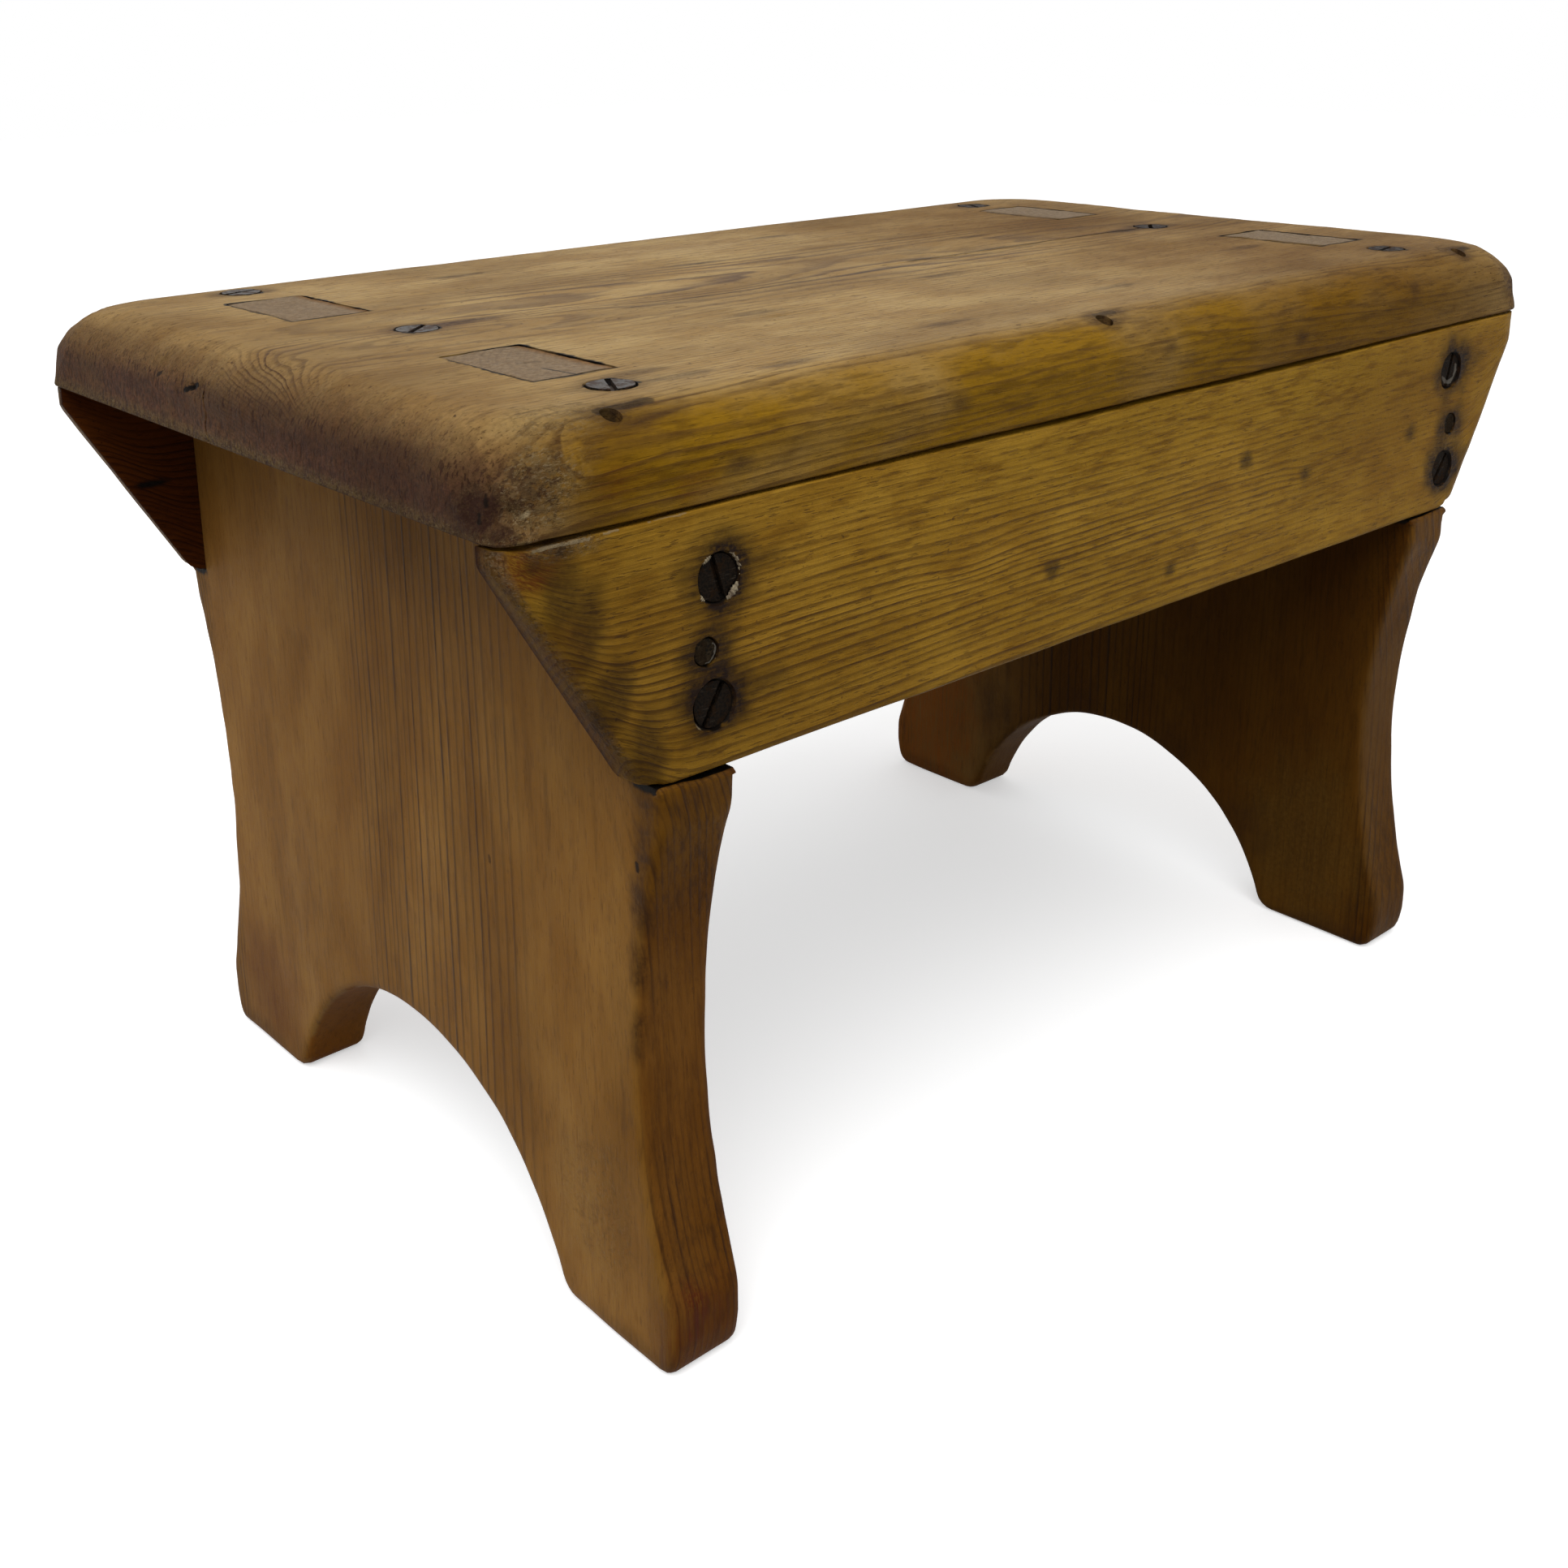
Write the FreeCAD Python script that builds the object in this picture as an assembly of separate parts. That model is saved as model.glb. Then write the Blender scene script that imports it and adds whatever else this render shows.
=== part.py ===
import FreeCAD, Part
import math
import os

# A small boarded pine stool, in millimetres. The floor is z = 0, the origin lies under the
# middle of the seat, X runs along the seat and Y across it, with the front at negative Y.

# Whole stool
stool_length = 340.0
stool_width = 190.0
stool_height = 200.0

# Seat board
seat_thickness = 19.0
seat_nose_height = 11.0
seat_nose_width = 13.0
seat_corner_radius = 7.0
seat_top_corner_radius = 17.0
seat_under_easing = 0.8
seat_nose_sections = 7

# Leg boards
leg_thickness = 18.5
leg_end_overhang = 31.5
leg_waist_depth = 8.8
leg_foot_height = 16.0
leg_neck_height = 8.0
leg_bend_radius = 15.0
leg_foot_radius = 5.0
leg_arris_radius = 2.0
arch_width = 114.0
arch_height = 43.0
arch_foot_radius = 6.0

# Through tenons
tenon_width = 31.5
tenon_spacing = 59.0
tenon_sink = 0.1
mortise_clearance = 0.15

# Apron boards
apron_thickness = 8.0
apron_drop = 51.0
apron_end_run = 28.5
apron_end_upright = 3.5
apron_corner_radius = 7.0
apron_brow_radius = 6.0
apron_arris_radius = 2.6
apron_seat_gap = 0.4
apron_notch_gap = 1.2

# Wood screws with slotted countersunk heads
screw_head_radius = 4.5
screw_head_rim = 0.35
screw_shank_radius = 2.2
screw_root_radius = 1.5
screw_thread_pitch = 1.9
screw_tip_length = 4.5
screw_slot_width = 1.2
screw_slot_depth = 1.1
screw_plain_share = 0.34
screw_clearance = 0.08
seat_screw_length = 38.0
seat_screw_sink = 0.15
apron_screw_length = 30.0
apron_screw_sink = 0.8
apron_recess_margin = 0.9

# Nails
nail_shank_radius = 1.1
nail_tip_length = 3.0
nail_clearance = 0.06
apron_nail_length = 30.0
apron_nail_head_radius = 2.9
apron_nail_head_height = 0.9
apron_nail_sink = 0.5
edge_nail_length = 38.0
edge_nail_head_radius = 1.7
edge_nail_head_height = 1.6
edge_nail_sink = 0.4
left_edge_nail_offset = 4.3
right_edge_nail_offset = 0.6
middle_edge_nail_offset = 10.2

# Remains of the old filler round one screw head: start and sweep of each crumb in degrees
filler_height = 0.6
filler_clearance = 0.05
filler_arcs = [(-75, 62), (-5, 70)]

# One overrun serves every cut that leaves a board
cut_overrun = 5.0

# Places of the seat screws at the left end: share of the leg's thickness from its middle
# plane, the stretch of the leg's top, from -1 before the front tenon over 0 between the two
# tenons to 1 behind the back one, the share along that stretch, and the slot's turn in degrees
seat_screw_shares = [(-0.04, -1, 0.46, 84.0), (0.26, 0, 0.53, 40.0), (0.09, 1, 0.58, 12.0)]

# Places in the front apron: share of the leg's thickness from the leg's middle plane, share
# of the apron's drop below the seat, and for the screws the turn of the slot in degrees
left_apron_screw_shares = [(0.31, 0.28, 82.0), (0.23, 0.75, 66.0)]
right_apron_screw_shares = [(0.224, 0.243, 75.0), (0.230, 0.769, 52.0)]
left_apron_nail_share = (0.13, 0.54)
right_apron_nail_share = (0.338, 0.533)

# Sizes that follow
half_length = stool_length / 2
half_width = stool_width / 2
seat_underside = stool_height - seat_thickness
leg_outer = half_length - leg_end_overhang
leg_inner = leg_outer - leg_thickness
leg_middle = leg_outer - leg_thickness / 2
apron_bottom = seat_underside - apron_drop
apron_top = seat_underside - apron_seat_gap
apron_inner = half_width - apron_thickness
notch_floor = apron_bottom - apron_notch_gap
apron_recess_radius = screw_head_radius + apron_recess_margin
tenon_near = tenon_spacing / 2
tenon_far = tenon_near + tenon_width

up = FreeCAD.Vector(0, 0, 1)
origin = FreeCAD.Vector(0, 0, 0)
right_angle = 90
tolerance = 1e-3


def block(x_low, x_high, y_low, y_high, z_low, z_high):
    corner = FreeCAD.Vector(x_low, y_low, z_low)
    return Part.makeBox(x_high - x_low, y_high - y_low, z_high - z_low, corner)


def turned(profile):
    """A solid of revolution about Z from (radius, height) points."""
    points = [FreeCAD.Vector(radius, 0, height) for radius, height in profile]
    face = Part.Face(Part.makePolygon(points + points[:1]))
    return face.revolve(origin, up, 360)


def half_turn(shape):
    """The same shape turned half way round the stool's upright middle line."""
    copy = shape.copy()
    copy.rotate(origin, up, 180)
    return copy


def edges_where(shape, test):
    return [edge for edge in shape.Edges if test(edge.BoundBox)]


def flat(low, high):
    return abs(high - low) < tolerance


def level(value, target):
    return abs(value - target) < tolerance


def screw_profile(length):
    cone = screw_head_radius - screw_shank_radius
    profile = [(0, 0), (screw_head_radius, 0), (screw_head_radius, -screw_head_rim)]
    profile.append((screw_shank_radius, -screw_head_rim - cone))
    start = length * screw_plain_share
    profile.append((screw_shank_radius, -start))
    turns = int((length - screw_tip_length - start) / screw_thread_pitch)
    for turn in range(turns):
        top = start + turn * screw_thread_pitch
        profile.append((screw_root_radius, -top - screw_thread_pitch / 4))
        profile.append((screw_root_radius, -top - screw_thread_pitch / 2))
        profile.append((screw_shank_radius, -top - screw_thread_pitch * 3 / 4))
        profile.append((screw_shank_radius, -top - screw_thread_pitch))
    profile.append((screw_root_radius, -length + screw_tip_length - screw_thread_pitch / 4))
    profile.append((0, -length))
    return profile


def wood_screw(length, slot_turn):
    """A screw standing head up, with the top of its head at the origin."""
    screw = turned(screw_profile(length))
    reach = screw_head_radius + cut_overrun
    half_slot = screw_slot_width / 2
    slot = block(-reach, reach, -half_slot, half_slot, -screw_slot_depth, cut_overrun)
    slot.rotate(origin, up, slot_turn)
    return screw.cut(slot)


def screw_bore(length, mouth_radius):
    """The hole for a screw, with a straight mouth above the head."""
    gap = screw_clearance
    head = screw_head_radius + gap
    shank = screw_shank_radius + gap
    mouth = mouth_radius + gap
    cone_end = -screw_head_rim - (screw_head_radius - screw_shank_radius) - gap
    profile = [(0, cut_overrun), (mouth, cut_overrun), (mouth, 0), (head, 0)]
    profile += [(head, -screw_head_rim - gap), (shank, cone_end)]
    profile += [(shank, -length - gap), (0, -length - gap)]
    if level(mouth, head):
        profile.remove((mouth, 0))
    return turned(profile)


def nail(length, head_radius, head_height):
    """A nail standing head up, with the top of its head at the origin."""
    profile = [(0, 0), (head_radius, 0), (head_radius, -head_height)]
    profile.append((nail_shank_radius, -head_height))
    profile.append((nail_shank_radius, -length + nail_tip_length))
    profile.append((0, -length))
    return turned(profile)


def nail_bore(length, head_radius, head_height):
    gap = nail_clearance
    head = head_radius + gap
    shank = nail_shank_radius + gap
    profile = [(0, cut_overrun), (head, cut_overrun), (head, -head_height - gap)]
    profile += [(shank, -head_height - gap), (shank, -length - gap), (0, -length - gap)]
    return turned(profile)


def driven_down(shape, x, y, z):
    shape.translate(FreeCAD.Vector(x, y, z))
    return shape


def driven_back(shape, x, z, sink):
    """Turns an upright fastener to point from the front face into the stool."""
    shape.rotate(origin, FreeCAD.Vector(1, 0, 0), right_angle)
    shape.translate(FreeCAD.Vector(x, -half_width + sink, z))
    return shape


def seat_screw_places():
    for thickness_share, stretch, along_share, slot_turn in seat_screw_shares:
        x = -leg_middle + thickness_share * leg_thickness
        y = stretch * (tenon_far + along_share * (apron_inner - tenon_far))
        if stretch == 0:
            y = (2 * along_share - 1) * tenon_near
        yield x, y, slot_turn


def apron_place(side, thickness_share, drop_share):
    x = side * leg_middle + thickness_share * leg_thickness
    return x, seat_underside - drop_share * apron_drop


def edge_nail_height():
    """The height of the nosed surface over the outer side of a nail head, less its sink."""
    inset = apron_thickness / 2 - edge_nail_head_radius
    run_share = max(1 - inset / seat_nose_width, 0)
    rise = seat_nose_height * math.sqrt(1 - run_share ** 2)
    return stool_height - seat_nose_height + rise - edge_nail_sink


def edge_nail_places():
    y = -half_width + apron_thickness / 2
    left = -leg_outer - left_edge_nail_offset
    right = leg_outer + right_edge_nail_offset
    for x in (left, -middle_edge_nail_offset, right):
        yield x, y, edge_nail_height()


def left_seat_screws():
    top = stool_height - seat_screw_sink
    return [driven_down(wood_screw(seat_screw_length, slot_turn), x, y, top)
            for x, y, slot_turn in seat_screw_places()]


def front_apron_screws(side, places):
    screws = []
    for thickness_share, drop_share, slot_turn in places:
        x, z = apron_place(side, thickness_share, drop_share)
        screws.append(driven_back(wood_screw(apron_screw_length, slot_turn), x, z, apron_screw_sink))
    return screws


def front_apron_nail(side, place):
    x, z = apron_place(side, *place)
    piece = nail(apron_nail_length, apron_nail_head_radius, apron_nail_head_height)
    return [driven_back(piece, x, z, apron_nail_sink)]


def front_edge_nails():
    return [driven_down(nail(edge_nail_length, edge_nail_head_radius, edge_nail_head_height), *place)
            for place in edge_nail_places()]


def half_of_bores():
    """Every hole for the fasteners of the left end, the front apron and the front edge."""
    bores = []
    top = stool_height - seat_screw_sink
    for x, y, slot_turn in seat_screw_places():
        bores.append(driven_down(screw_bore(seat_screw_length, screw_head_radius), x, y, top))
    for side, places in ((-1, left_apron_screw_shares), (1, right_apron_screw_shares)):
        for thickness_share, drop_share, slot_turn in places:
            x, z = apron_place(side, thickness_share, drop_share)
            bore = screw_bore(apron_screw_length, apron_recess_radius)
            bores.append(driven_back(bore, x, z, apron_screw_sink))
    for side, place in ((-1, left_apron_nail_share), (1, right_apron_nail_share)):
        x, z = apron_place(side, *place)
        bore = nail_bore(apron_nail_length, apron_nail_head_radius, apron_nail_head_height)
        bores.append(driven_back(bore, x, z, apron_nail_sink))
    for place in edge_nail_places():
        bore = nail_bore(edge_nail_length, edge_nail_head_radius, edge_nail_head_height)
        bores.append(driven_down(bore, *place))
    return bores


def bored(board, bores):
    return board.cut([bore for bore in bores if bore.BoundBox.intersect(board.BoundBox)])


def rounded_rectangle(half_x, half_y, radius, z):
    """A level rectangle with round corners, drawn side by side and corner by corner."""
    bow = radius * math.sqrt(0.5)
    edges = []
    for quarter in range(4):
        reach, side = (half_x, half_y) if quarter % 2 == 0 else (half_y, half_x)
        centre = FreeCAD.Vector(reach - radius, side - radius, z)
        low = FreeCAD.Vector(reach, radius - side, z)
        start = centre + FreeCAD.Vector(radius, 0, 0)
        middle = centre + FreeCAD.Vector(bow, bow, 0)
        end = centre + FreeCAD.Vector(0, radius, 0)
        for edge in (Part.LineSegment(low, start).toShape(), Part.Arc(start, middle, end).toShape()):
            edge.rotate(origin, up, quarter * right_angle)
            edges.append(edge)
    return Part.Wire(edges)


def nose_section(turn):
    """The seat's outline at one turn of the nosing, from its foot at 0 to the flat top at 90."""
    share = 1 - math.cos(math.radians(turn))
    inset = seat_nose_width * share
    radius = seat_corner_radius + (seat_top_corner_radius - seat_corner_radius) * share
    z = stool_height - seat_nose_height * (1 - math.sin(math.radians(turn)))
    return rounded_rectangle(half_length - inset, half_width - inset, radius, z)


def seat_board(bores):
    foot = rounded_rectangle(half_length, half_width, seat_corner_radius, seat_underside)
    board = Part.Face(foot).extrude(up * (seat_thickness - seat_nose_height))
    low_edges = edges_where(board, lambda box: level(box.ZMax, seat_underside))
    board = board.makeFillet(seat_under_easing, low_edges)
    steps = seat_nose_sections - 1
    sections = [nose_section(right_angle * step / steps) for step in range(seat_nose_sections)]
    board = board.fuse(Part.makeLoft(sections, True, False)).removeSplitter()
    for side in (-1, 1):
        for end in (-1, 1):
            board = board.cut(tenon(side, end, mortise_clearance, cut_overrun))
    return bored(board, bores)


def tenon(side, end, margin, overrun):
    """One tenon of the leg at this end, grown by a margin where it stands for its mortise."""
    y_low, y_high = sorted((side * (tenon_near - margin), side * (tenon_far + margin)))
    x_low, x_high = sorted((end * (leg_inner - margin), end * (leg_outer + margin)))
    top = stool_height - tenon_sink + overrun
    return block(x_low, x_high, y_low, y_high, seat_underside - overrun, top)


def arc_round(centre, start, end):
    """The short arc from start to end round its centre."""
    middle = start + end - centre * 2
    middle.Length = (start - centre).Length
    return Part.Arc(start, centre + middle, end).toShape()


def towards(first, second, distance):
    """The point at this distance from the first point on the way to the second."""
    way = second - first
    way.Length = distance
    return first + way


def leg_outline(x):
    """The leg below the apron notches: feet, waisted sides and the round arch."""
    middle_z = (leg_foot_height + notch_floor - leg_neck_height) / 2
    half_waist = middle_z - leg_foot_height
    waist_radius = (half_waist ** 2 + leg_waist_depth ** 2) / (2 * leg_waist_depth)
    arch_radius = ((arch_width / 2) ** 2 + arch_height ** 2) / (2 * arch_height)
    heel_reach = arch_radius + arch_foot_radius
    heel_y = math.sqrt(heel_reach ** 2 - (arch_foot_radius - arch_height + arch_radius) ** 2)
    waist_y = half_width - leg_waist_depth + waist_radius
    bend_y = half_width - leg_bend_radius
    bend_rise = math.sqrt((waist_radius + leg_bend_radius) ** 2 - (waist_y - bend_y) ** 2)
    edges = []
    heel_tops = []
    for side in (-1, 1):
        def point(y, z):
            return FreeCAD.Vector(x, side * y, z)

        def line(first, last):
            edges.append(Part.LineSegment(first, last).toShape())

        heel = point(heel_y, arch_foot_radius)
        heel_tops.append(towards(heel, point(0, arch_height - arch_radius), arch_foot_radius))
        edges.append(arc_round(heel, heel_tops[-1], point(heel_y, 0)))
        toe = point(half_width - leg_foot_radius, leg_foot_radius)
        toe_side = point(half_width, leg_foot_radius)
        toe_under = point(half_width - leg_foot_radius, 0)
        line(point(heel_y, 0), toe_under)
        edges.append(arc_round(toe, toe_under, toe_side))
        waist = point(waist_y, middle_z)
        low_bend = point(bend_y, middle_z - bend_rise)
        low_start = point(half_width, middle_z - bend_rise)
        low_end = towards(low_bend, waist, leg_bend_radius)
        high_bend = point(bend_y, middle_z + bend_rise)
        high_start = towards(high_bend, waist, leg_bend_radius)
        high_end = point(half_width, middle_z + bend_rise)
        line(toe_side, low_start)
        edges.append(arc_round(low_bend, low_start, low_end))
        edges.append(arc_round(waist, low_end, high_start))
        edges.append(arc_round(high_bend, high_start, high_end))
        line(high_end, point(half_width, notch_floor))
        line(point(half_width, notch_floor), point(0, notch_floor))
    crown = FreeCAD.Vector(x, 0, arch_height)
    edges.append(Part.Arc(heel_tops[0], crown, heel_tops[1]).toShape())
    return Part.Wire(Part.sortEdges(edges)[0])


def left_leg(bores):
    board = Part.Face(leg_outline(-leg_outer)).extrude(FreeCAD.Vector(leg_thickness, 0, 0))
    below = notch_floor - tolerance
    rims = edges_where(board, lambda box: flat(box.XMin, box.XMax) and box.ZMin < below)
    board = board.makeFillet(leg_arris_radius, rims)
    neck = block(-leg_outer, -leg_inner, -apron_inner, apron_inner, notch_floor, seat_underside)
    board = board.fuse(neck)
    for side in (-1, 1):
        board = board.fuse(tenon(side, -1, 0, 0))
    return bored(board.removeSplitter(), bores)


def round_off(board, radius, wanted):
    """Rounds the edges of the board that lie where the wanted edges lay."""
    centres = [edge.BoundBox.Center for edge in wanted]
    edges = [edge for edge in board.Edges
             if any(edge.BoundBox.Center.distanceToPoint(centre) < tolerance for centre in centres)]
    return board.makeFillet(radius, edges)


def front_apron(bores):
    half_lower = half_length - apron_end_run
    brow_z = seat_underside - apron_end_upright
    outline = [(-half_lower, apron_bottom), (half_lower, apron_bottom), (half_length, brow_z)]
    outline += [(half_length, apron_top), (-half_length, apron_top), (-half_length, brow_z)]
    points = [FreeCAD.Vector(x, -half_width, z) for x, z in outline]
    face = Part.Face(Part.makePolygon(points + points[:1]))
    board = face.extrude(FreeCAD.Vector(0, apron_thickness, 0))
    across = edges_where(board, lambda box: flat(box.ZMin, box.ZMax) and flat(box.XMin, box.XMax))
    corners = [edge for edge in across if level(edge.BoundBox.ZMin, apron_bottom)]
    brows = [edge for edge in across if level(edge.BoundBox.ZMin, brow_z)]
    board = round_off(board, apron_corner_radius, corners)
    board = round_off(board, apron_brow_radius, brows)
    below = apron_top - tolerance
    rims = edges_where(board, lambda box: level(box.YMax, -half_width) and box.ZMin < below)
    board = board.makeFillet(apron_arris_radius, rims)
    return bored(board, bores)


def screw_filler():
    """Two crumbs of filler in the recess round the upper left screw head."""
    x, z = apron_place(-1, *left_apron_screw_shares[0][:2])
    inner = screw_head_radius + filler_clearance
    outer = apron_recess_radius + screw_clearance - filler_clearance
    crumbs = []
    for start, sweep in filler_arcs:
        ring = Part.makeCylinder(outer, filler_height, origin, up, sweep)
        ring = ring.cut(Part.makeCylinder(inner, filler_height))
        ring.rotate(origin, up, start)
        crumbs.append(driven_back(ring, x, z, apron_screw_sink))
    return crumbs


def write(name, solids):
    shape = solids[0] if len(solids) == 1 else Part.makeCompound(solids)
    shape.exportStep(os.path.join("parts", name + ".step"))
    volume = sum(solid.Volume for solid in solids)
    valid = all(solid.isValid() and len(solid.Solids) == 1 for solid in solids)
    print(name, "solids", len(solids), "volume", round(volume, 1), "valid", valid)


os.makedirs("parts", exist_ok=True)
front_bores = half_of_bores()
all_bores = front_bores + [half_turn(bore) for bore in front_bores]
left = left_leg(all_bores)
front = front_apron(all_bores)
write("seat_board", [seat_board(all_bores)])
write("left_leg", [left])
write("right_leg", [half_turn(left)])
write("front_apron", [front])
write("back_apron", [half_turn(front)])

fasteners = {
    ("left_seat_screws", "right_seat_screws"): left_seat_screws(),
    ("front_left_apron_screws", "back_right_apron_screws"): front_apron_screws(-1, left_apron_screw_shares),
    ("front_right_apron_screws", "back_left_apron_screws"): front_apron_screws(1, right_apron_screw_shares),
    ("front_left_apron_nail", "back_right_apron_nail"): front_apron_nail(-1, left_apron_nail_share),
    ("front_right_apron_nail", "back_left_apron_nail"): front_apron_nail(1, right_apron_nail_share),
    ("front_seat_nails", "back_seat_nails"): front_edge_nails(),
}
for (name, opposite), solids in fasteners.items():
    write(name, solids)
    write(opposite, [half_turn(solid) for solid in solids])
write("screw_filler", screw_filler())
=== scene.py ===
import math
import bpy
import bmesh
import numpy as np
from mathutils import Matrix, Vector
from mathutils.geometry import delaunay_2d_cdt
from mathutils.kdtree import KDTree


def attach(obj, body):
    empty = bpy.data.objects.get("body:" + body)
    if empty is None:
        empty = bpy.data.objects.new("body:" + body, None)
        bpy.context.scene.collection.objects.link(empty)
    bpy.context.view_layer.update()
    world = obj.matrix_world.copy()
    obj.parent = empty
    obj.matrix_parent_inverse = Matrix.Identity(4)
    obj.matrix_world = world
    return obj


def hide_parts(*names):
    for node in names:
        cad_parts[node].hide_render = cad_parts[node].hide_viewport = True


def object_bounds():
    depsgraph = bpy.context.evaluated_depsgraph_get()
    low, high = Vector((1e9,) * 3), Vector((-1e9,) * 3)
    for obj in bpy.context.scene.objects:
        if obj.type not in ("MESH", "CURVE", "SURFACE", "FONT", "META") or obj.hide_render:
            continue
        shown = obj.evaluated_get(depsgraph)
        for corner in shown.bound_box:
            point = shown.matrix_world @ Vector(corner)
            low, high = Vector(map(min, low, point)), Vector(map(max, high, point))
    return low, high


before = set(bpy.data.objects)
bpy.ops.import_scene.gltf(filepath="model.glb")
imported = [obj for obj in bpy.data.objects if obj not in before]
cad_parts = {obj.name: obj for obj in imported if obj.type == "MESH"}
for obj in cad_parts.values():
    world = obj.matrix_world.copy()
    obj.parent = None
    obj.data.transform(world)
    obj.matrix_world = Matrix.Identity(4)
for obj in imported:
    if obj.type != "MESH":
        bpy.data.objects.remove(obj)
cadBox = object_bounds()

# An old low pine stool. Sizes here are in millimetres, the meshes are made in metres.
metre = 0.001
body = "root"
hashPrimes = np.array([73856093, 19349663, 83492791])
hexRow = 0.866   # height of a row in a grid of even triangles, as a share of its spacing


# small helpers
def softNoise(points, size, seed):
    # smooth random field from -1 to 1, the same on every run
    spot = np.asarray(points, float) / np.asarray(size, float) + seed * 17.31 + 1000.0
    cell = np.floor(spot).astype(np.int64)
    part = spot - cell
    part = part * part * (3 - 2 * part)
    total = np.zeros(len(spot))
    for corner in range(8):
        step = np.array([(corner >> axis) & 1 for axis in range(3)])
        key = ((cell + step) * hashPrimes).sum(axis=1)
        key = ((key ^ (key >> 13)) * 1274126177) & 0x7FFFFFFF
        key = ((key ^ (key >> 11)) * 461845907) & 0x7FFFFFFF
        total += np.prod(np.where(step == 1, part, 1 - part), axis=1) * (key / 0x3FFFFFFF - 1)
    return total


def waves(points, level, *rows):
    # a level with soft noises on top: each row is strength, size, seed
    for strength, size, seed in rows:
        level = level + strength * softNoise(points, size, seed)
    return level


def smooth(value, low, high):
    share = np.clip((value - low) / (high - low), 0, 1)
    return share * share * (3 - 2 * share)


def atHeight(points, height):
    return np.column_stack([points, np.full(len(points), float(height))])


def both(places):
    # the places, and the same ones a half turn round the stool's middle
    return places + [(-x, -y, *rest) for x, y, *rest in places]


def isInside(points, ring):
    # even-odd test of many points against one closed ring
    within = np.zeros(len(points), bool)
    x, y = points.T
    for (x0, y0), (x1, y1) in zip(ring, np.roll(ring, -1, axis=0)):
        if y0 != y1:
            within ^= ((y0 > y) != (y1 > y)) & (x < (x1 - x0) * (y - y0) / (y1 - y0) + x0)
    return within


def isOnFace(points, outer, holes):
    keep = isInside(points, outer)
    for hole in holes:
        keep &= ~isInside(points, hole)
    return keep


def nearestTree(points):
    tree = KDTree(len(points))
    for index, point in enumerate(points):
        tree.insert(point, index)
    tree.balance()
    return tree


def hexGrid(low, high, spacing, random):
    parts = []
    for count, v in enumerate(np.arange(low[1], high[1], spacing * hexRow)):
        u = np.arange(low[0] + (count % 2) * spacing / 2, high[0], spacing)
        parts.append(np.column_stack([u, np.full(len(u), v)]))
    grid = np.concatenate(parts)
    return grid + random.uniform(-0.1, 0.1, grid.shape) * spacing


def fillFace(outer, holes, spacing, seed, fine=(), creases=()):
    # triangles between a ring and its holes, with loose points and finer zones in between
    random = np.random.default_rng(seed)
    loose = hexGrid(outer.min(axis=0), outer.max(axis=0), spacing, random)
    for u, v, radius, closeness in fine:
        centre = np.array([u, v])
        extra = hexGrid(centre - radius, centre + radius, closeness, random)
        loose = loose[np.linalg.norm(loose - centre, axis=1) > radius]
        loose = np.concatenate([loose, extra[np.linalg.norm(extra - centre, axis=1) < radius]])
    loose = loose[isOnFace(loose, outer, holes)]
    rings = [outer, *holes, *creases]
    bound = np.concatenate(rings)
    gap = np.concatenate([np.linalg.norm(ring - np.roll(ring, 1, axis=0), axis=1) for ring in rings])
    tree = nearestTree(atHeight(bound, 0))
    clear = []
    for u, v in loose:
        spot, index, distance = tree.find((u, v, 0))
        clear.append(distance > 0.62 * min(max(gap[index], 0.35), spacing))
    points = np.concatenate([bound, loose[np.array(clear)]])
    starts = np.cumsum([0] + [len(ring) for ring in rings]).tolist()
    edges = []
    for count, (ring, start) in enumerate(zip(rings, starts)):
        isOpen = count > len(holes)
        edges += [(start + k, start + (k + 1) % len(ring)) for k in range(len(ring) - isOpen)]
    found = delaunay_2d_cdt([Vector(point) for point in points], edges, [], 0, 1e-7)
    places = np.array([tuple(point) for point in found[0]])
    corners = np.array([list(face) for face in found[2]])
    keep = isOnFace(places[corners].mean(axis=1), outer, holes)
    now = {origin[0]: index for index, origin in enumerate(found[3]) if origin}
    indexed = [[now[start + k] for k in range(len(ring))] for ring, start in zip(rings, starts)]
    return places, corners[keep], indexed


class Shell:
    # collects the points and faces of one closed piece
    def __init__(self):
        self.points, self.faces, self.total = [], [], 0

    def add(self, points):
        self.points.append(np.asarray(points, float))
        self.total += len(points)
        return list(range(self.total - len(points), self.total))

    def join(self, first, second):
        for k in range(len(first)):
            after = (k + 1) % len(first)
            self.faces.append((first[k], first[after], second[after], second[k]))

    def chain(self, last, rings):
        for ring in rings:
            numbers = self.add(ring)
            self.join(last, numbers)
            last = numbers
        return last

    def sheet(self, places, corners, indexed):
        numbers = self.add(places)
        self.faces += [tuple(numbers[k] for k in corner) for corner in corners]
        return [[numbers[k] for k in ring] for ring in indexed]

    def make(self, name):
        mesh = bpy.data.meshes.new(name)
        mesh.from_pydata((np.concatenate(self.points) * metre).tolist(), [], self.faces)
        build = bmesh.new()
        build.from_mesh(mesh)
        bmesh.ops.remove_doubles(build, verts=build.verts, dist=1e-6)
        loose = [vert for vert in build.verts if not vert.link_faces]
        bmesh.ops.delete(build, geom=loose, context="VERTS")
        bmesh.ops.recalc_face_normals(build, faces=build.faces)
        bmesh.ops.triangulate(build, faces=build.faces)
        build.to_mesh(mesh)
        build.free()
        return linked(name, mesh)


def linked(name, data):
    thing = bpy.data.objects.new(name, data)
    bpy.context.scene.collection.objects.link(thing)
    return thing


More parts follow.
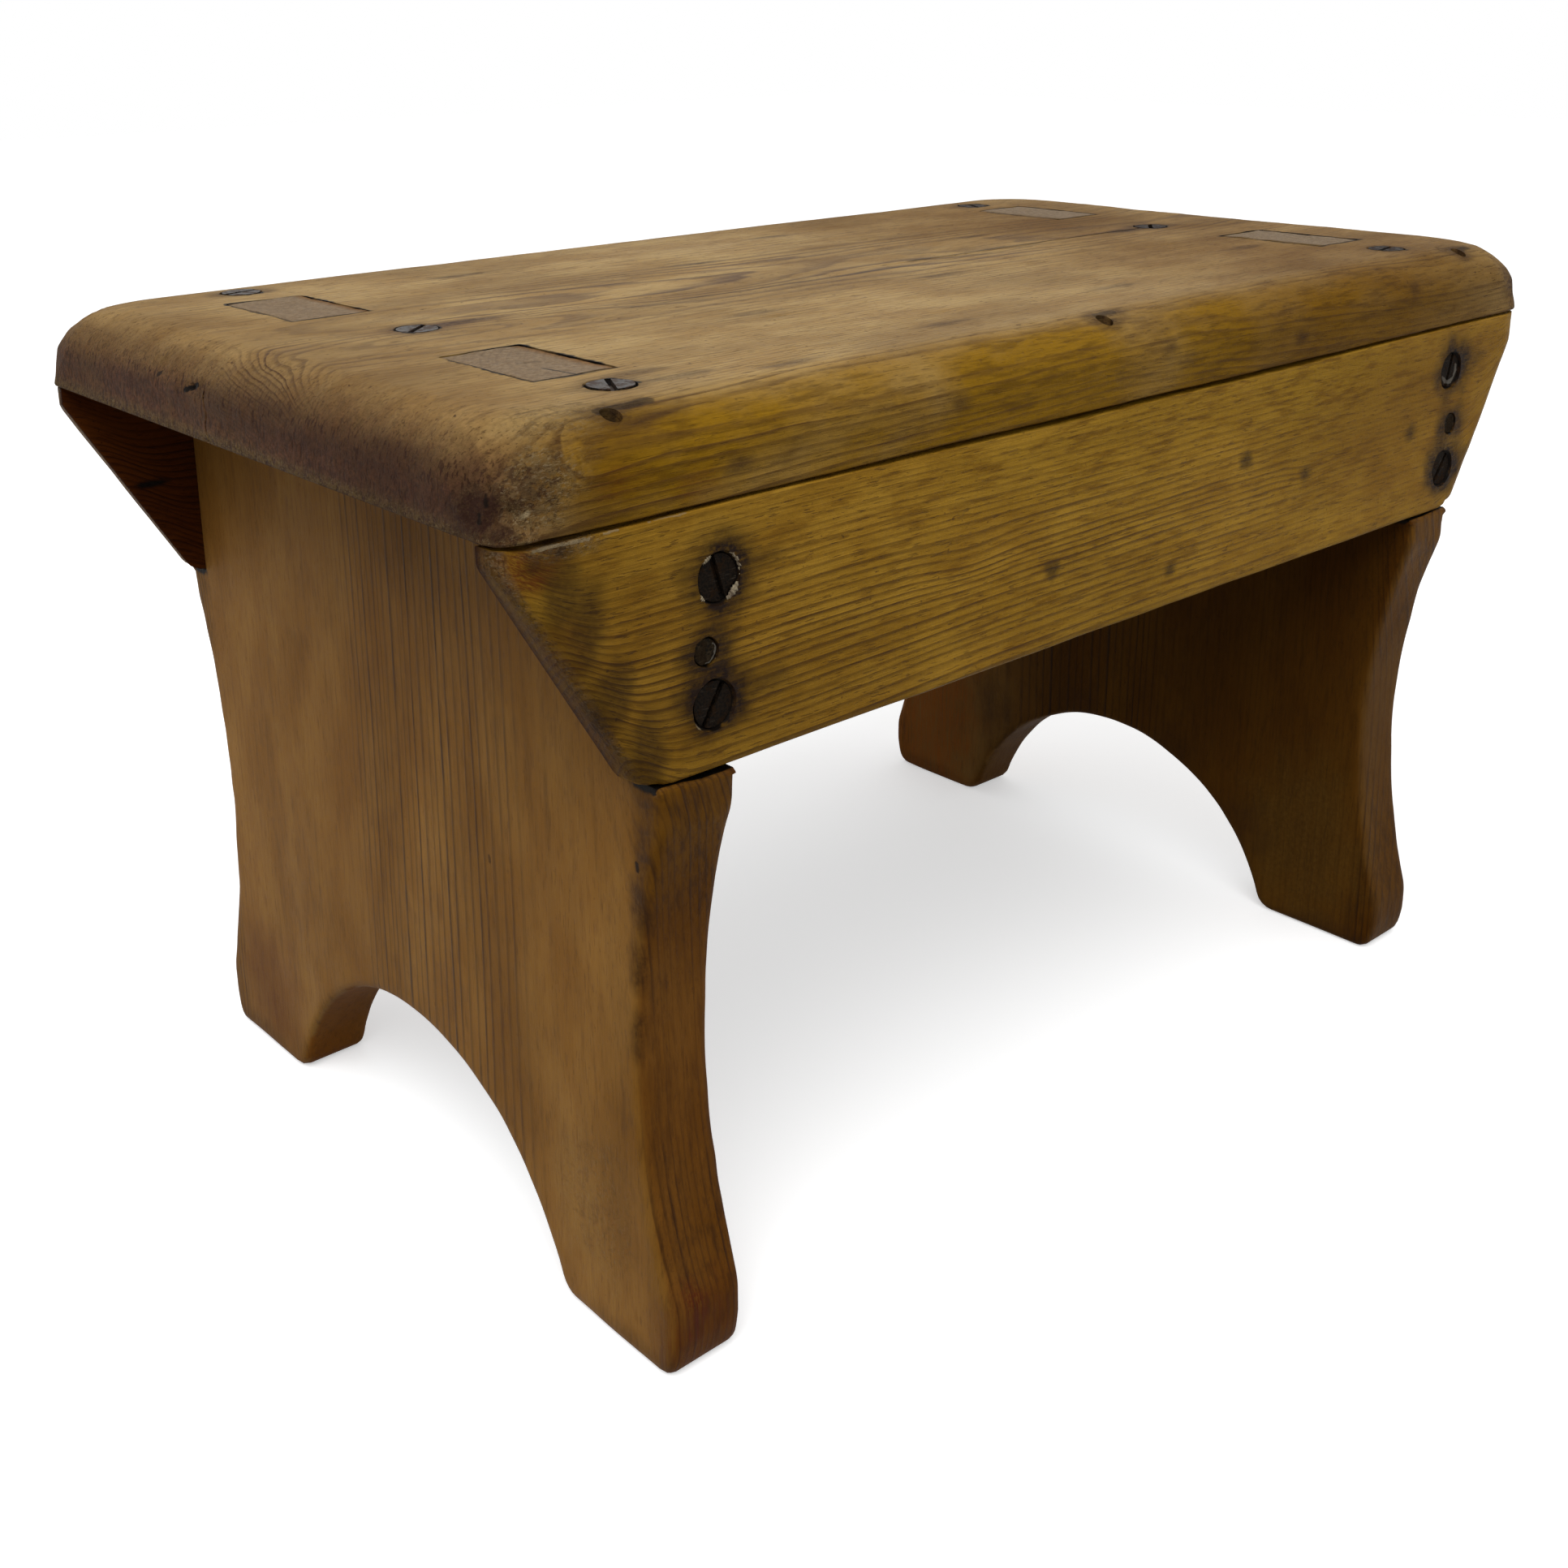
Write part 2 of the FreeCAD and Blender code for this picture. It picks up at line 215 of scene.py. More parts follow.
def readPoints(piece):
    count = len(piece.data.vertices)
    places, facing = np.zeros(count * 3), np.zeros(count * 3, np.float32)
    piece.data.vertices.foreach_get("co", places)
    piece.data.vertex_normals.foreach_get("vector", facing)
    return places.reshape(-1, 3) / metre, facing.reshape(-1, 3).astype(float)


def writePoints(piece, places):
    low, high = (np.array(corner) / metre for corner in cadBox)
    piece.data.vertices.foreach_set("co", (np.clip(places, low, high) * metre).ravel())
    piece.data.update()


def paintAll(piece, values):
    for name, value in values.items():
        layer = piece.data.attributes.new(name, "FLOAT", "POINT")
        layer.data.foreach_set("value", np.clip(value, 0, 1).astype(np.float32))


def finishPiece(piece, node, slot, sharpFrom=38, material=None):
    if material:
        piece.data.materials.append(material)
    piece.data.polygons.foreach_set("use_smooth", [True] * len(piece.data.polygons))
    piece.data.set_sharp_from_angle(angle=math.radians(sharpFrom))
    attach(piece, body)
    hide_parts(node)
    return piece


def patches(points, seed, *groups):
    # soft ragged spots, the strongest counts: each group is centres, reach along X, Y and Z, strength
    value = np.zeros(len(points))
    ragged = waves(points, 0, (0.22, 5, seed), (0.12, 2.2, seed + 1))
    for centres, reach, strength in groups:
        for centre in centres:
            distance = np.linalg.norm((points - np.array(centre)) / np.array(reach), axis=1)
            value = np.maximum(value, strength * (1 - smooth(distance + ragged, 0.45, 1.25)))
    return value


# where the fasteners stand: X and Y on the seat, X and Z on the aprons, then the turn of the slot
screwPlaces = {
    "seat": [(-129.99, -72.96, 61), (-124.44, 1.77, 40), (-127.59, 76.08, 12)],
    "apron": [(-123.52, 166.72, 107), (-125.0, 142.75, 59), (133.39, 168.61, 75), (133.51, 141.78, 52)],
}
nailPlaces = {
    "apron": [(-126.85, 153.46), (135.5, 153.82)],
    "edge": [(-141.6, -88.2), (-7.6, -88.2), (143.5, -88.2)],
}

# seat board
seat = {
    "length": 340, "width": 190, "top": 200, "under": 181,
    "noseHeight": 11, "noseWidth": 13, "cornerRadius": 7, "topCornerRadius": 17, "easing": 0.5,
    "mortiseX": (119.85, 138.65), "mortiseY": (29.35, 61.15), "mortiseDepth": 4.0,
    "spacing": 1.75, "underSpacing": 3.2, "counts": ((150, 76), 26),
    # radius of the mouth and the shank, height of the mouth's floor and of the cone's foot,
    # points round it, raggedness, seed
    "screwHole": (4.58, 2.28, 199.2, 196.9, 30, 0.55, 1),
    "nailHole": (1.78, 1.16, 193.2, 193.1, 20, 0.1, 11),
    # drying crack towards the right middle screw
    "topCrack": [(2, -3.0), (30, -2.2), (62, -2.6), (92, -1.2), (118.2, -1.7)],
    # worn corners: a slanting plane and its depth at the corner, then
    # side along X and Y, how far in the wear starts, share rubbed away
    "cornerSlant": (0.55, 0.62, 0.56), "cornerDepth": 15.5,
    "wornCorners": [(-1, -1, 0, 0.42), (1, -1, 3, 0.3), (-1, 1, 2, 0.3), (1, 1, 2, 0.34)],
    # finer zones of the flat pattern: centre, radius, spacing
    "fineZones": [(-165, -90, 24, 1.1), (-165, -60, 16, 1.25), (-166, -30, 18, 1.25), (-168, 8, 20, 1.2)],
    # centre, reach along X, Y and Z, depth
    "dents": [
        ((-166.5, -93.2, 186.2), (2.6, 3, 1.5), 0.7),    # scar low on the worn corner
        ((-169.5, 16.1, 191.8), (3, 2.6, 1.1), 1.5),     # dark nick beside the end split
        ((-168, 31, 194.5), (3, 1.6, 1.4), 0.8),
        ((-96, -80, 200), (7, 2.4, 3), 0.35),
        ((-30, -62, 200), (5, 1.4, 3), 0.3),
        ((-60, -40, 200), (9, 1.3, 3), 0.28),
        ((20, -50, 200), (6, 1.5, 3), 0.3),
        ((-88, 42, 200), (8, 1.2, 3), 0.3),
        ((46, 38, 200), (7, 1.6, 3), 0.3),
        ((95, -30, 200), (5, 1.6, 3), 0.32),
        ((-131, -74.8, 200), (7.5, 5.5, 3), 0.35),       # hollow round the front left screw
    ],
}
halfLength, halfWidth, seatTop = seat["length"] / 2, seat["width"] / 2, seat["top"]
noseTurn = np.radians(np.linspace(90, 0, 181))
noseInset = seat["noseWidth"] * (1 - np.cos(noseTurn))
noseHeight = seatTop - seat["noseHeight"] * (1 - np.sin(noseTurn))
noseReach = np.concatenate([[0], np.cumsum(np.hypot(np.diff(noseInset), np.diff(noseHeight)))])
noseLength, noseFoot = noseReach[-1], seatTop - seat["noseHeight"]
coreX, coreY = (half - seat["noseWidth"] - seat["topCornerRadius"] for half in (halfLength, halfWidth))


def cornerAt(inset):
    # radius of the seat's corner where the nosing has come in this far
    return seat["cornerRadius"] + (seat["topCornerRadius"] - seat["cornerRadius"]) * inset / seat["noseWidth"]


def seatSurface(flat):
    # folds the flat pattern of the top down over the nosing
    u, v = flat.T
    du, dv = np.maximum(np.abs(u) - coreX, 0), np.maximum(np.abs(v) - coreY, 0)
    run = np.hypot(du, dv)
    reach = np.maximum(run - seat["topCornerRadius"], 0)
    inset = np.interp(reach, noseReach, noseInset)
    onNose = np.interp(reach, noseReach, noseHeight)
    height = np.where(reach < noseLength, onNose, noseFoot - (reach - noseLength))
    radius, safe = cornerAt(inset), np.maximum(run, 1e-9)
    x = np.sign(u) * ((halfLength - inset - radius) * np.minimum(np.abs(u) / coreX, 1) + radius * du / safe)
    y = np.sign(v) * ((halfWidth - inset - radius) * np.minimum(np.abs(v) / coreY, 1) + radius * dv / safe)
    level = run <= seat["topCornerRadius"]
    return np.column_stack([np.where(level, u, x), np.where(level, v, y), np.where(level, seatTop, height)])


def unfoldFront(x, y):
    # where a point seen from above lies in the flat pattern, near the front or back nosing
    inset = halfWidth - np.abs(y)
    reach = np.interp(-inset, -noseInset, noseReach)
    folded = inset < seat["noseWidth"]
    u = np.where(folded, x * coreX / (halfLength - inset - cornerAt(inset)), x)
    return np.column_stack([u, np.where(folded, np.sign(y) * (coreY + seat["topCornerRadius"] + reach), y)])


def unfoldEnd(y, z):
    # where a point of the left end lies in the flat pattern
    reach = np.where(z > noseFoot, np.interp(-z, -noseHeight, noseReach), noseLength + noseFoot - z)
    inset = np.interp(reach, noseReach, noseInset)
    v = y * coreY / (halfWidth - inset - cornerAt(inset))
    return np.column_stack([-(coreX + seat["topCornerRadius"] + reach), v])


def roundRing(centreX, centreY, radius, side, corner):
    # a rounded rectangle as points, counted the same way whatever its size
    turns = [(1, 1, 0), (-1, 1, 90), (-1, -1, 180), (1, -1, 270)]

    def spot(sx, sy, degrees):
        angle = math.radians(degrees)
        return np.array([sx * centreX + radius * math.cos(angle), sy * centreY + radius * math.sin(angle)])

    points = []
    for number, (sx, sy, start) in enumerate(turns):
        points += [spot(sx, sy, start + 90 * k / corner) for k in range(corner + 1)]
        after = turns[(number + 1) % 4]
        begin, end = points[-1], spot(*after)
        count = side[0] if sy == after[1] else side[1]
        points += [begin + (end - begin) * (k / count) for k in range(1, count)]
    return np.array(points)


def circle(x, y, radius, count, ragged=0.0, seed=0):
    angle = np.linspace(0, math.tau, count, endpoint=False)
    around = np.column_stack([np.cos(angle) * 2 + seed * 5.1, np.sin(angle) * 2, np.full(count, seed * 3.7)])
    reach = radius + ragged * (0.5 + 0.5 * softNoise(around, 0.8, seed))
    return np.column_stack([x + reach * np.cos(angle), y + reach * np.sin(angle)])


def rectangle(xRange, yRange, ragged=(0, 0), seed=0, step=1.1):
    (x0, x1), (y0, y1) = xRange, yRange
    corners = np.array([(x0, y0), (x1, y0), (x1, y1), (x0, y1)], float)
    points = []
    for start, end in zip(corners, np.roll(corners, -1, axis=0)):
        count = int(round(np.linalg.norm(end - start) / step))
        points += [start + (end - start) * j / count for j in range(count)]
    points = np.array(points)
    offset = points - corners.mean(axis=0)
    away = np.sign(offset) * (np.abs(offset) > (corners[2] - corners[0]) / 2 - 1e-6)
    wander = waves(atHeight(points, 0), 0.5, (0.5, 4.5, seed), (0.35, 1.7, seed + 2))
    return points + away * np.array(ragged) * np.clip(wander, 0, 1.3)[:, None]


def wanderingCrack():
    points = np.array(seat["topCrack"], float)
    lengths = np.concatenate([[0], np.cumsum(np.linalg.norm(np.diff(points, axis=0), axis=1))])
    along = np.linspace(0, lengths[-1], int(lengths[-1]))
    line = np.column_stack([np.interp(along, lengths, points[:, k]) for k in range(2)])
    line[:, 1] += softNoise(np.column_stack([along, along * 0, along * 0]), 9, 5) * 0.7
    return line


def splitPlace(height):
    # the split runs down the left end a little behind the middle
    return 9.4 + 0.4 * np.sin(height * 1.1) + (height - 181) * 0.07


def endSplit(points):
    x, y, z = points.T
    near = 1 - smooth(np.abs(y - splitPlace(z)), 0.08, 0.3)
    return near * (x < -158) * (1 - smooth(z, 191.2, 192)) * (z > 181.2)


def makeSeat():
    holes = []   # each is its mouth in the flat pattern, its ring on the underside, the rings between
    for end in (-1, 1):
        for side in (-1, 1):
            ranges = sorted(end * x for x in seat["mortiseX"]), sorted(side * y for y in seat["mortiseY"])
            floor = rectangle(*ranges)
            mouth = rectangle(*ranges, (0.4, 0.25), 31 + 3 * end + side)
            holes.append((mouth, floor, [atHeight(floor, seatTop - seat["mortiseDepth"])]))
    for key, places in (("screwHole", screwPlaces["seat"]), ("nailHole", nailPlaces["edge"])):
        wide, narrow, floorHeight, footHeight, count, ragged, seed = seat[key]
        for number, (x, y, *turn) in enumerate(both(places)):
            mouth = circle(x, y, wide, count, ragged, seed + number)
            mouth = unfoldFront(*mouth.T) if key == "nailHole" else mouth
            floor = circle(x, y, narrow, count)
            between = [atHeight(circle(x, y, wide, count), floorHeight), atHeight(floor, footHeight)]
            holes.append((mouth, floor, between))
    mouths, floors, tubes = zip(*holes)
    crack = wanderingCrack()
    heights = np.linspace(191.6, 182.4, 14)
    creases = [crack + (0, shift) for shift in (0, 0.32, -0.32)]
    creases += [unfoldEnd(splitPlace(heights) + shift, heights) for shift in (-0.34, 0, 0.34)]
    shell = Shell()
    fullRadius = seat["topCornerRadius"] + noseLength + noseFoot - seat["under"] - seat["easing"]
    outer = roundRing(coreX, coreY, fullRadius, *seat["counts"])
    top = fillFace(outer, mouths, seat["spacing"], 7, seat["fineZones"], creases)
    rings = shell.sheet(seatSurface(top[0]), *top[1:])
    under, step = (roundRing(halfLength - seat["cornerRadius"], halfWidth - seat["cornerRadius"],
                             seat["cornerRadius"] - seat["easing"] * share, *seat["counts"])
                   for share in (1, 0.3))
    low = shell.chain(rings[0], [atHeight(step, seat["under"] + seat["easing"] * 0.3)])
    places, corners, indexed = fillFace(under, floors, seat["underSpacing"], 8)
    below = shell.sheet(atHeight(places, seat["under"]), corners, indexed)
    shell.join(low, below[0])
    for number, tube in enumerate(tubes, 1):
        shell.join(shell.chain(rings[number], tube), below[number])
    return shell.make("seatBoard"), crack


def wearSeat(piece, crack):
    points, facing = readPoints(piece)
    x, y, z = points.T
    nearTop = smooth(z, 181.2, 184)
    hollow = waves(points, 0.22, (0.16, (60, 34, 60), 1), (0.09, (18, 9, 18), 2), (0.05, (7, 2.6, 5), 3))
    hollow = hollow * nearTop
    # what stands past a slanting plane at a worn corner is rubbed down
    slant = np.array(seat["cornerSlant"])
    for sx, sy, start, share in seat["wornCorners"]:
        limit = slant @ (halfLength, halfWidth, seatTop) - seat["cornerDepth"] + start
        hollow += share * np.maximum((points * slant) @ (sx, sy, 1) - limit, 0) * nearTop
    rubbed = patches(points, 21, ([(-164, -88, 190)], (13, 12, 9), 1))
    hollow += rubbed * waves(points, 0.25, (0.35, 2.4, 22), (0.2, 5, 23))
    for centre, reach, depth in seat["dents"]:
        distance = np.linalg.norm((points - np.array(centre)) / np.array(reach), axis=1)
        hollow += depth * np.exp(-(distance ** 2) * 2.2)
    # woolly end grain
    hollow += smooth(np.abs(x), 158, 166) * nearTop * waves(points, 0, (0.14, (3, 1.6, 3), 31), (0.12, 2, 33))
    # open crack on the top and the split down the left end
    tree = nearestTree(atHeight(crack, seatTop))
    gap = np.array([tree.find(point)[2] for point in points])
    openness = (1 - smooth(gap, 0.02, 0.3)) * smooth(x, 0, 40) * (1 - smooth(x, 116, 121))
    split = endSplit(points)
    hollow += openness * 0.9 + split * 1.3
    points = points - facing * hollow[:, None]
    # the lower front and back edges wander, which opens the joint above each apron
    wander = waves(points, 0.25, (0.25, (24, 200, 200), 41), (0.14, (5, 200, 200), 42))
    lowEdge = (1 - smooth(points[:, 2], 181, 184)) * smooth(np.abs(points[:, 1]), 92, 94.5)
    points[:, 2] += lowEdge * np.clip(wander, 0, 1) * 0.7
    writePoints(piece, points)
    return openness, split


# sawn boards: legs and aprons
def runLine(start, end, edge, step):
    start, end = np.array(start, float), np.array(end, float)
    count = max(int(np.ceil(np.linalg.norm(end - start) / step)), 1)
    return atHeight(start + (end - start) * (np.arange(count)[:, None] / count), edge)


def runArc(centre, start, end, edge, step):
    # the short way round a centre, without its last point
    centre, start, end = (np.array(point, float) for point in (centre, start, end))
    radius = np.linalg.norm(start - centre)
    first = math.atan2(*(start - centre)[::-1])
    sweep = (math.atan2(*(end - centre)[::-1]) - first + math.pi) % math.tau - math.pi
    count = max(int(np.ceil(abs(sweep) * radius / step)), 4)
    angle = first + sweep * np.arange(count) / count
    ring = np.column_stack([centre[0] + radius * np.cos(angle), centre[1] + radius * np.sin(angle)])
    return atHeight(ring, edge)


def towards(first, second, distance):
    first, second = np.array(first, float), np.array(second, float)
    return first + (second - first) * distance / np.linalg.norm(second - first)


def mirrored(right, height, edge):
    # the right half of an outline, its middle point and the same half on the left
    return np.concatenate([right, [[0, height, edge]], right[1:][::-1] * np.array([-1, 1, 1])])


def outwardOf(ring):
    ahead = np.roll(ring, -1, axis=0) - ring
    ahead /= np.linalg.norm(ahead, axis=1)[:, None]
    along = ahead + np.roll(ahead, 1, axis=0)
    along /= np.linalg.norm(along, axis=1)[:, None]
    return np.column_stack([along[:, 1], -along[:, 0]])


def makeBoard(name, outline, thickness, holes, place, spacing, backEdge, seed):
    # a board with rounded arrises: outline rows are u, v and the radius of the front arris
    shell = Shell()
    ring = outline[:, :2]
    outward = outwardOf(ring)
    wobble = atHeight(ring, seed * 7.0)
    front, back = (edge * waves(wobble, 1, (0.22, 13, seed + k))
                   for k, edge in enumerate((outline[:, 2], np.minimum(outline[:, 2], backEdge))))

    def layer(points, depth):
        return place(points[:, 0], points[:, 1], depth * np.ones(len(points)))

    def face(edge, rings, depth, closeness, number):
        places, corners, indexed = fillFace(ring - outward * edge[:, None], rings, closeness, number)
        return shell.sheet(layer(places, depth), corners, indexed)

    mouths = [circle(*hole["centre"], hole["rings"][0][0], hole["count"], hole["ragged"], seed + k)
              for k, hole in enumerate(holes)]
    floors = [circle(*hole["centre"], hole["rings"][-1][0], hole["count"]) for hole in holes]
    ahead = face(front, mouths, 0, spacing, seed)
    behind = face(back, floors, thickness, spacing * 1.25, seed + 1)
    rows = []
    turns = np.radians([30, 60, 90])   # the steps of a rounded arris
    for turn in turns:
        rows.append((front * (1 - math.sin(turn)), front * (1 - math.cos(turn))))
    flat = max(int(round((thickness - 4) / (spacing * 1.1))), 2)
    for k in range(1, flat):
        rows.append((front * 0, front + (thickness - front - back) * (k / flat)))
    for turn in turns[::-1]:
        rows.append((back * (1 - math.sin(turn)), thickness - back * (1 - math.cos(turn))))
    last = shell.chain(ahead[0], [layer(ring - outward * inset[:, None], depth) for inset, depth in rows])
    shell.join(last, behind[0])
    for number, hole in enumerate(holes, 1):
        rings = [layer(circle(*hole["centre"], radius, hole["count"]), depth)
                 for radius, depth in hole["rings"][1:]]
        shell.join(shell.chain(ahead[number], rings), behind[number])
    return shell.make(name)


leg = {
    "width": 190, "thickness": 18.5, "outer": 138.5, "waistDepth": 8.8, "footHeight": 16, "neckHeight": 8,
    "bendRadius": 15, "footRadius": 5, "arris": 2.4, "archWidth": 114, "archHeight": 43, "archFoot": 6,
    "notch": 129.8, "shoulder": 1.1, "neck": 87, "seatUnder": 181,
    "tenonNear": 29.5, "tenonFar": 61, "tenonTop": 199.9, "sharp": 0.35, "spacing": 1.9,
}


def legOutline():
    half, arris, step = leg["width"] / 2, leg["arris"], leg["spacing"]
    notch, shoulder, neck, under = leg["notch"], leg["shoulder"], leg["neck"], leg["seatUnder"]
    near, far, tenonTop, sharp = leg["tenonNear"], leg["tenonFar"], leg["tenonTop"], leg["sharp"]
    middle = (leg["footHeight"] + notch - leg["neckHeight"]) / 2
    waistDepth, archHeight, foot = leg["waistDepth"], leg["archHeight"], leg["archFoot"]
    waistRadius = ((middle - leg["footHeight"]) ** 2 + waistDepth ** 2) / (2 * waistDepth)
    archRadius = ((leg["archWidth"] / 2) ** 2 + archHeight ** 2) / (2 * archHeight)
    archCentre = (0, archHeight - archRadius)
    heel = (math.sqrt((archRadius + foot) ** 2 - (foot - archCentre[1]) ** 2), foot)
    heelTop = towards(heel, archCentre, foot)
    toe, bend = leg["footRadius"], leg["bendRadius"]
    waist = (half - waistDepth + waistRadius, middle)
    rise = math.sqrt((waistRadius + bend) ** 2 - (waist[0] - half + bend) ** 2)
    lowBend, highBend = (half - bend, middle - rise), (half - bend, middle + rise)
    lowEnd, highStart = towards(lowBend, waist, bend), towards(highBend, waist, bend)
    runs = [
        runArc(archCentre, (0, archHeight), heelTop, arris, step),
        runArc(heel, heelTop, (heel[0], 0), arris, step),
        runLine((heel[0], 0), (half - toe, 0), arris, step),
        runArc((half - toe, toe), (half - toe, 0), (half, toe), arris, step),
        runLine((half, toe), (half, middle - rise), arris, step),
        runArc(lowBend, (half, middle - rise), lowEnd, arris, step),
        runArc(waist, lowEnd, highStart, arris, step),
        runArc(highBend, highStart, (half, middle + rise), arris, step),
        runLine((half, middle + rise), (half, notch - shoulder), arris, 0.9),
        runArc((half - shoulder, notch - shoulder), (half, notch - shoulder), (half - shoulder, notch),
               0.7, 0.5),
    ]
    corners = [(half - shoulder, notch), (neck, notch), (neck, under), (far, under), (far, tenonTop),
               (near, tenonTop), (near, under), (0, under)]
    for start, end, closeness in zip(corners, corners[1:], (1.6, 3.2, 3.2, 2.4, 1.2, 2.4, 3.2)):
        runs.append(runLine(start, end, sharp, closeness))
    return mirrored(np.concatenate(runs), under, sharp)


def makeLeg(side):
    def place(u, v, depth):
        return np.column_stack([side * (leg["outer"] - depth), -side * u, v])

    name, seed = ("leftLeg", 71) if side < 0 else ("rightLeg", 81)
    piece = makeBoard(name, legOutline(), leg["thickness"], [], place, leg["spacing"], leg["arris"],
                      seed - 20)
    points, facing = readPoints(piece)
    x, y, z = points.T
    hollow = waves(points, 0.2, (0.16, (40, 40, 70), seed), (0.07, (7, 7, 26), seed + 1))
    edgeFaces = smooth(np.abs(y), 80, 86) + (z < 46) * (np.abs(y) < 62)
    hollow += edgeFaces * waves(points, 0, (0.12, (9, 6, 5), seed + 2))
    hollow *= (1 - smooth(z, 124, 128)) * smooth(z, 0.3, 3)
    # tenon ends: a little sunk and woolly
    sink = smooth(z, 199, 199.8) * waves(points, 0.12, (0.12, 5, seed + 3), (0.06, 1.6, seed + 4))
    points = points - facing * hollow[:, None]
    points[:, 2] -= np.clip(sink, 0, 1)
    # the shoulder under each apron slopes away inwards and is ragged
    x, y, z = points.T
    shoulder = smooth(z, 127.6, 129.2) * (z < 131) * smooth(np.abs(y), 86, 87.4)
    fall = waves(points, -0.3 + 1.3 * smooth(-np.abs(x), -137, -126), (0.3, (1.6, 30, 30), seed + 5))
    if side > 0:   # the front one of the right leg fits tightly
        fall[y < 0] *= 0.3
    points[:, 2] -= shoulder * fall
    # feet rubbed rounder at their outer corners
    corner = np.maximum(np.abs(y) - 88, 0) * (1 - smooth(z, 3, 9))
    points[:, 1] -= np.sign(y) * corner * 0.12
    writePoints(piece, points)
    return piece


apron = {
    "thickness": 8, "top": 180.6, "bottom": 130, "half": 170, "lowerHalf": 141.5, "brow": 177.5,
    "cornerRadius": 5.5, "browRadius": 6, "tipRadius": 7.5, "arris": 1.3, "endArris": 3.8, "topArris": 1.2,
    "backArris": 0.5, "sharp": 0.45, "spacing": 1.7,
    # rings of a hole from the face inwards: radius and depth
    "screwRings": [(4.8, 0), (4.7, 0.85), (4.58, 0.95), (4.58, 1.3), (2.28, 3.55), (2.28, 8)],
    "nailRings": [(2.62, 0), (2.62, 1.45), (1.16, 1.5), (1.16, 8)],
    # the groove pressed round a screw head: depth, radius, width
    "groove": (0.16, 6.4, 1.6),
}


def filletRun(before, corner, after, radius, edge, step):
    # the arc that rounds a corner, with its two ends
    corner = np.array(corner, float)
    first, second = towards(corner, before, 1) - corner, towards(corner, after, 1) - corner
    halfAngle = math.acos(np.clip(first @ second, -1, 1)) / 2
    reach = radius / math.tan(halfAngle)
    centre = corner + (first + second) / np.linalg.norm(first + second) * radius / math.sin(halfAngle)
    start, end = corner + first * reach, corner + second * reach
    return start, end, runArc(centre, start, end, edge, step)


def apronOutline():
    low, high, brow, half, lower = (apron[key] for key in ("bottom", "top", "brow", "half", "lowerHalf"))
    edge, endEdge, sharp, step = (apron[key] for key in ("arris", "endArris", "sharp", "spacing"))
    rounding = apron["cornerRadius"], endEdge, step
    cornerStart, cornerEnd, cornerArc = filletRun((0, low), (lower, low), (half, brow), *rounding)
    rounding = apron["browRadius"], endEdge, step
    browStart, browEnd, browArc = filletRun((lower, low), (half, brow), (half, high), *rounding)
    bottom = runLine((0, low), cornerStart, edge, step)
    bottom[:, 2] += (endEdge - edge) * smooth(bottom[:, 0], cornerStart[0] - 4, cornerStart[0] + 3)
    slope = runLine(cornerEnd, browStart, endEdge, step)
    upright = runLine(browEnd, (half, high), endEdge, 0.5)
    upright[:, 2] = np.linspace(endEdge, apron["topArris"], len(upright))
    across = runLine((half, high), (0, high), sharp, 1.5)
    return mirrored(np.concatenate([bottom, cornerArc, slope, browArc, upright, across]), high, sharp)


def makeApron(side):
    def place(u, v, depth):
        return np.column_stack([-side * u, side * (halfWidth - depth), v])

    holes = []
    for key, places, count, ragged in (("screwRings", screwPlaces, 34, 0.5),
                                       ("nailRings", nailPlaces, 24, 0.4)):
        for u, v, *turn in places["apron"]:
            holes.append({"centre": (u, v), "rings": apron[key], "count": count, "ragged": ragged})
    name, seed = ("frontApron", 91) if side < 0 else ("backApron", 121)
    piece = makeBoard(name, apronOutline(), apron["thickness"], holes, place, apron["spacing"],
                      apron["backArris"], seed)
    points, facing = readPoints(piece)
    hollow = waves(points, 0.16, (0.14, (46, 46, 18), seed), (0.06, (14, 14, 3.5), seed + 1))
    deepest, middle, width = apron["groove"]
    for u, v, turn in screwPlaces["apron"]:
        distance = np.linalg.norm(points - np.array([-side * u, side * halfWidth, v]), axis=1)
        pressed = deepest * np.exp(-((distance - middle) / width) ** 2)
        hollow += pressed * waves(points, 0.4, (1, 2.2, seed + 4))
    inner = smooth(np.abs(points[:, 1]), 87.4, 88.4)
    points = points - facing * (hollow * inner)[:, None]
    # the upper front edge wanders and is chipped towards the ends
    chip = waves(points, 0.3, (0.3, (30, 400, 400), seed + 2), (0.16, (4, 400, 400), seed + 3))
    middle = 1 - smooth(np.abs(points[:, 0] - 10), 30, 120)
    worn = np.clip(chip * (0.4 + 0.6 * middle) + 0.5 * middle, 0.05, 1.4)
    points[:, 2] -= smooth(points[:, 2], 178.6, 180.3) * inner * worn * 0.75
    torn = patches(points, seed + 6, ([(side * 164, side * halfWidth, 180)], (9, 4, 3.2), 1))
    points[:, 2] -= torn * waves(points, 0.3, (0.5, 2.1, seed + 7))
    # the tips follow the rounded corners of the seat above
    corner = np.array([apron["half"], halfWidth]) - apron["tipRadius"]
    away = np.maximum(np.abs(points[:, :2]) - corner, 0)
    pull = np.minimum(1, (apron["tipRadius"] - 0.4) / np.maximum(np.linalg.norm(away, axis=1), 1e-9))
    tips = (away.min(axis=1) > 0) & (pull < 1)
    points[tips, :2] = np.sign(points[tips, :2]) * (corner + away[tips] * pull[tips, None])
    points[:, 0] = np.clip(points[:, 0], 0.5 - halfLength, halfLength - 0.5)
    writePoints(piece, points)
    return piece


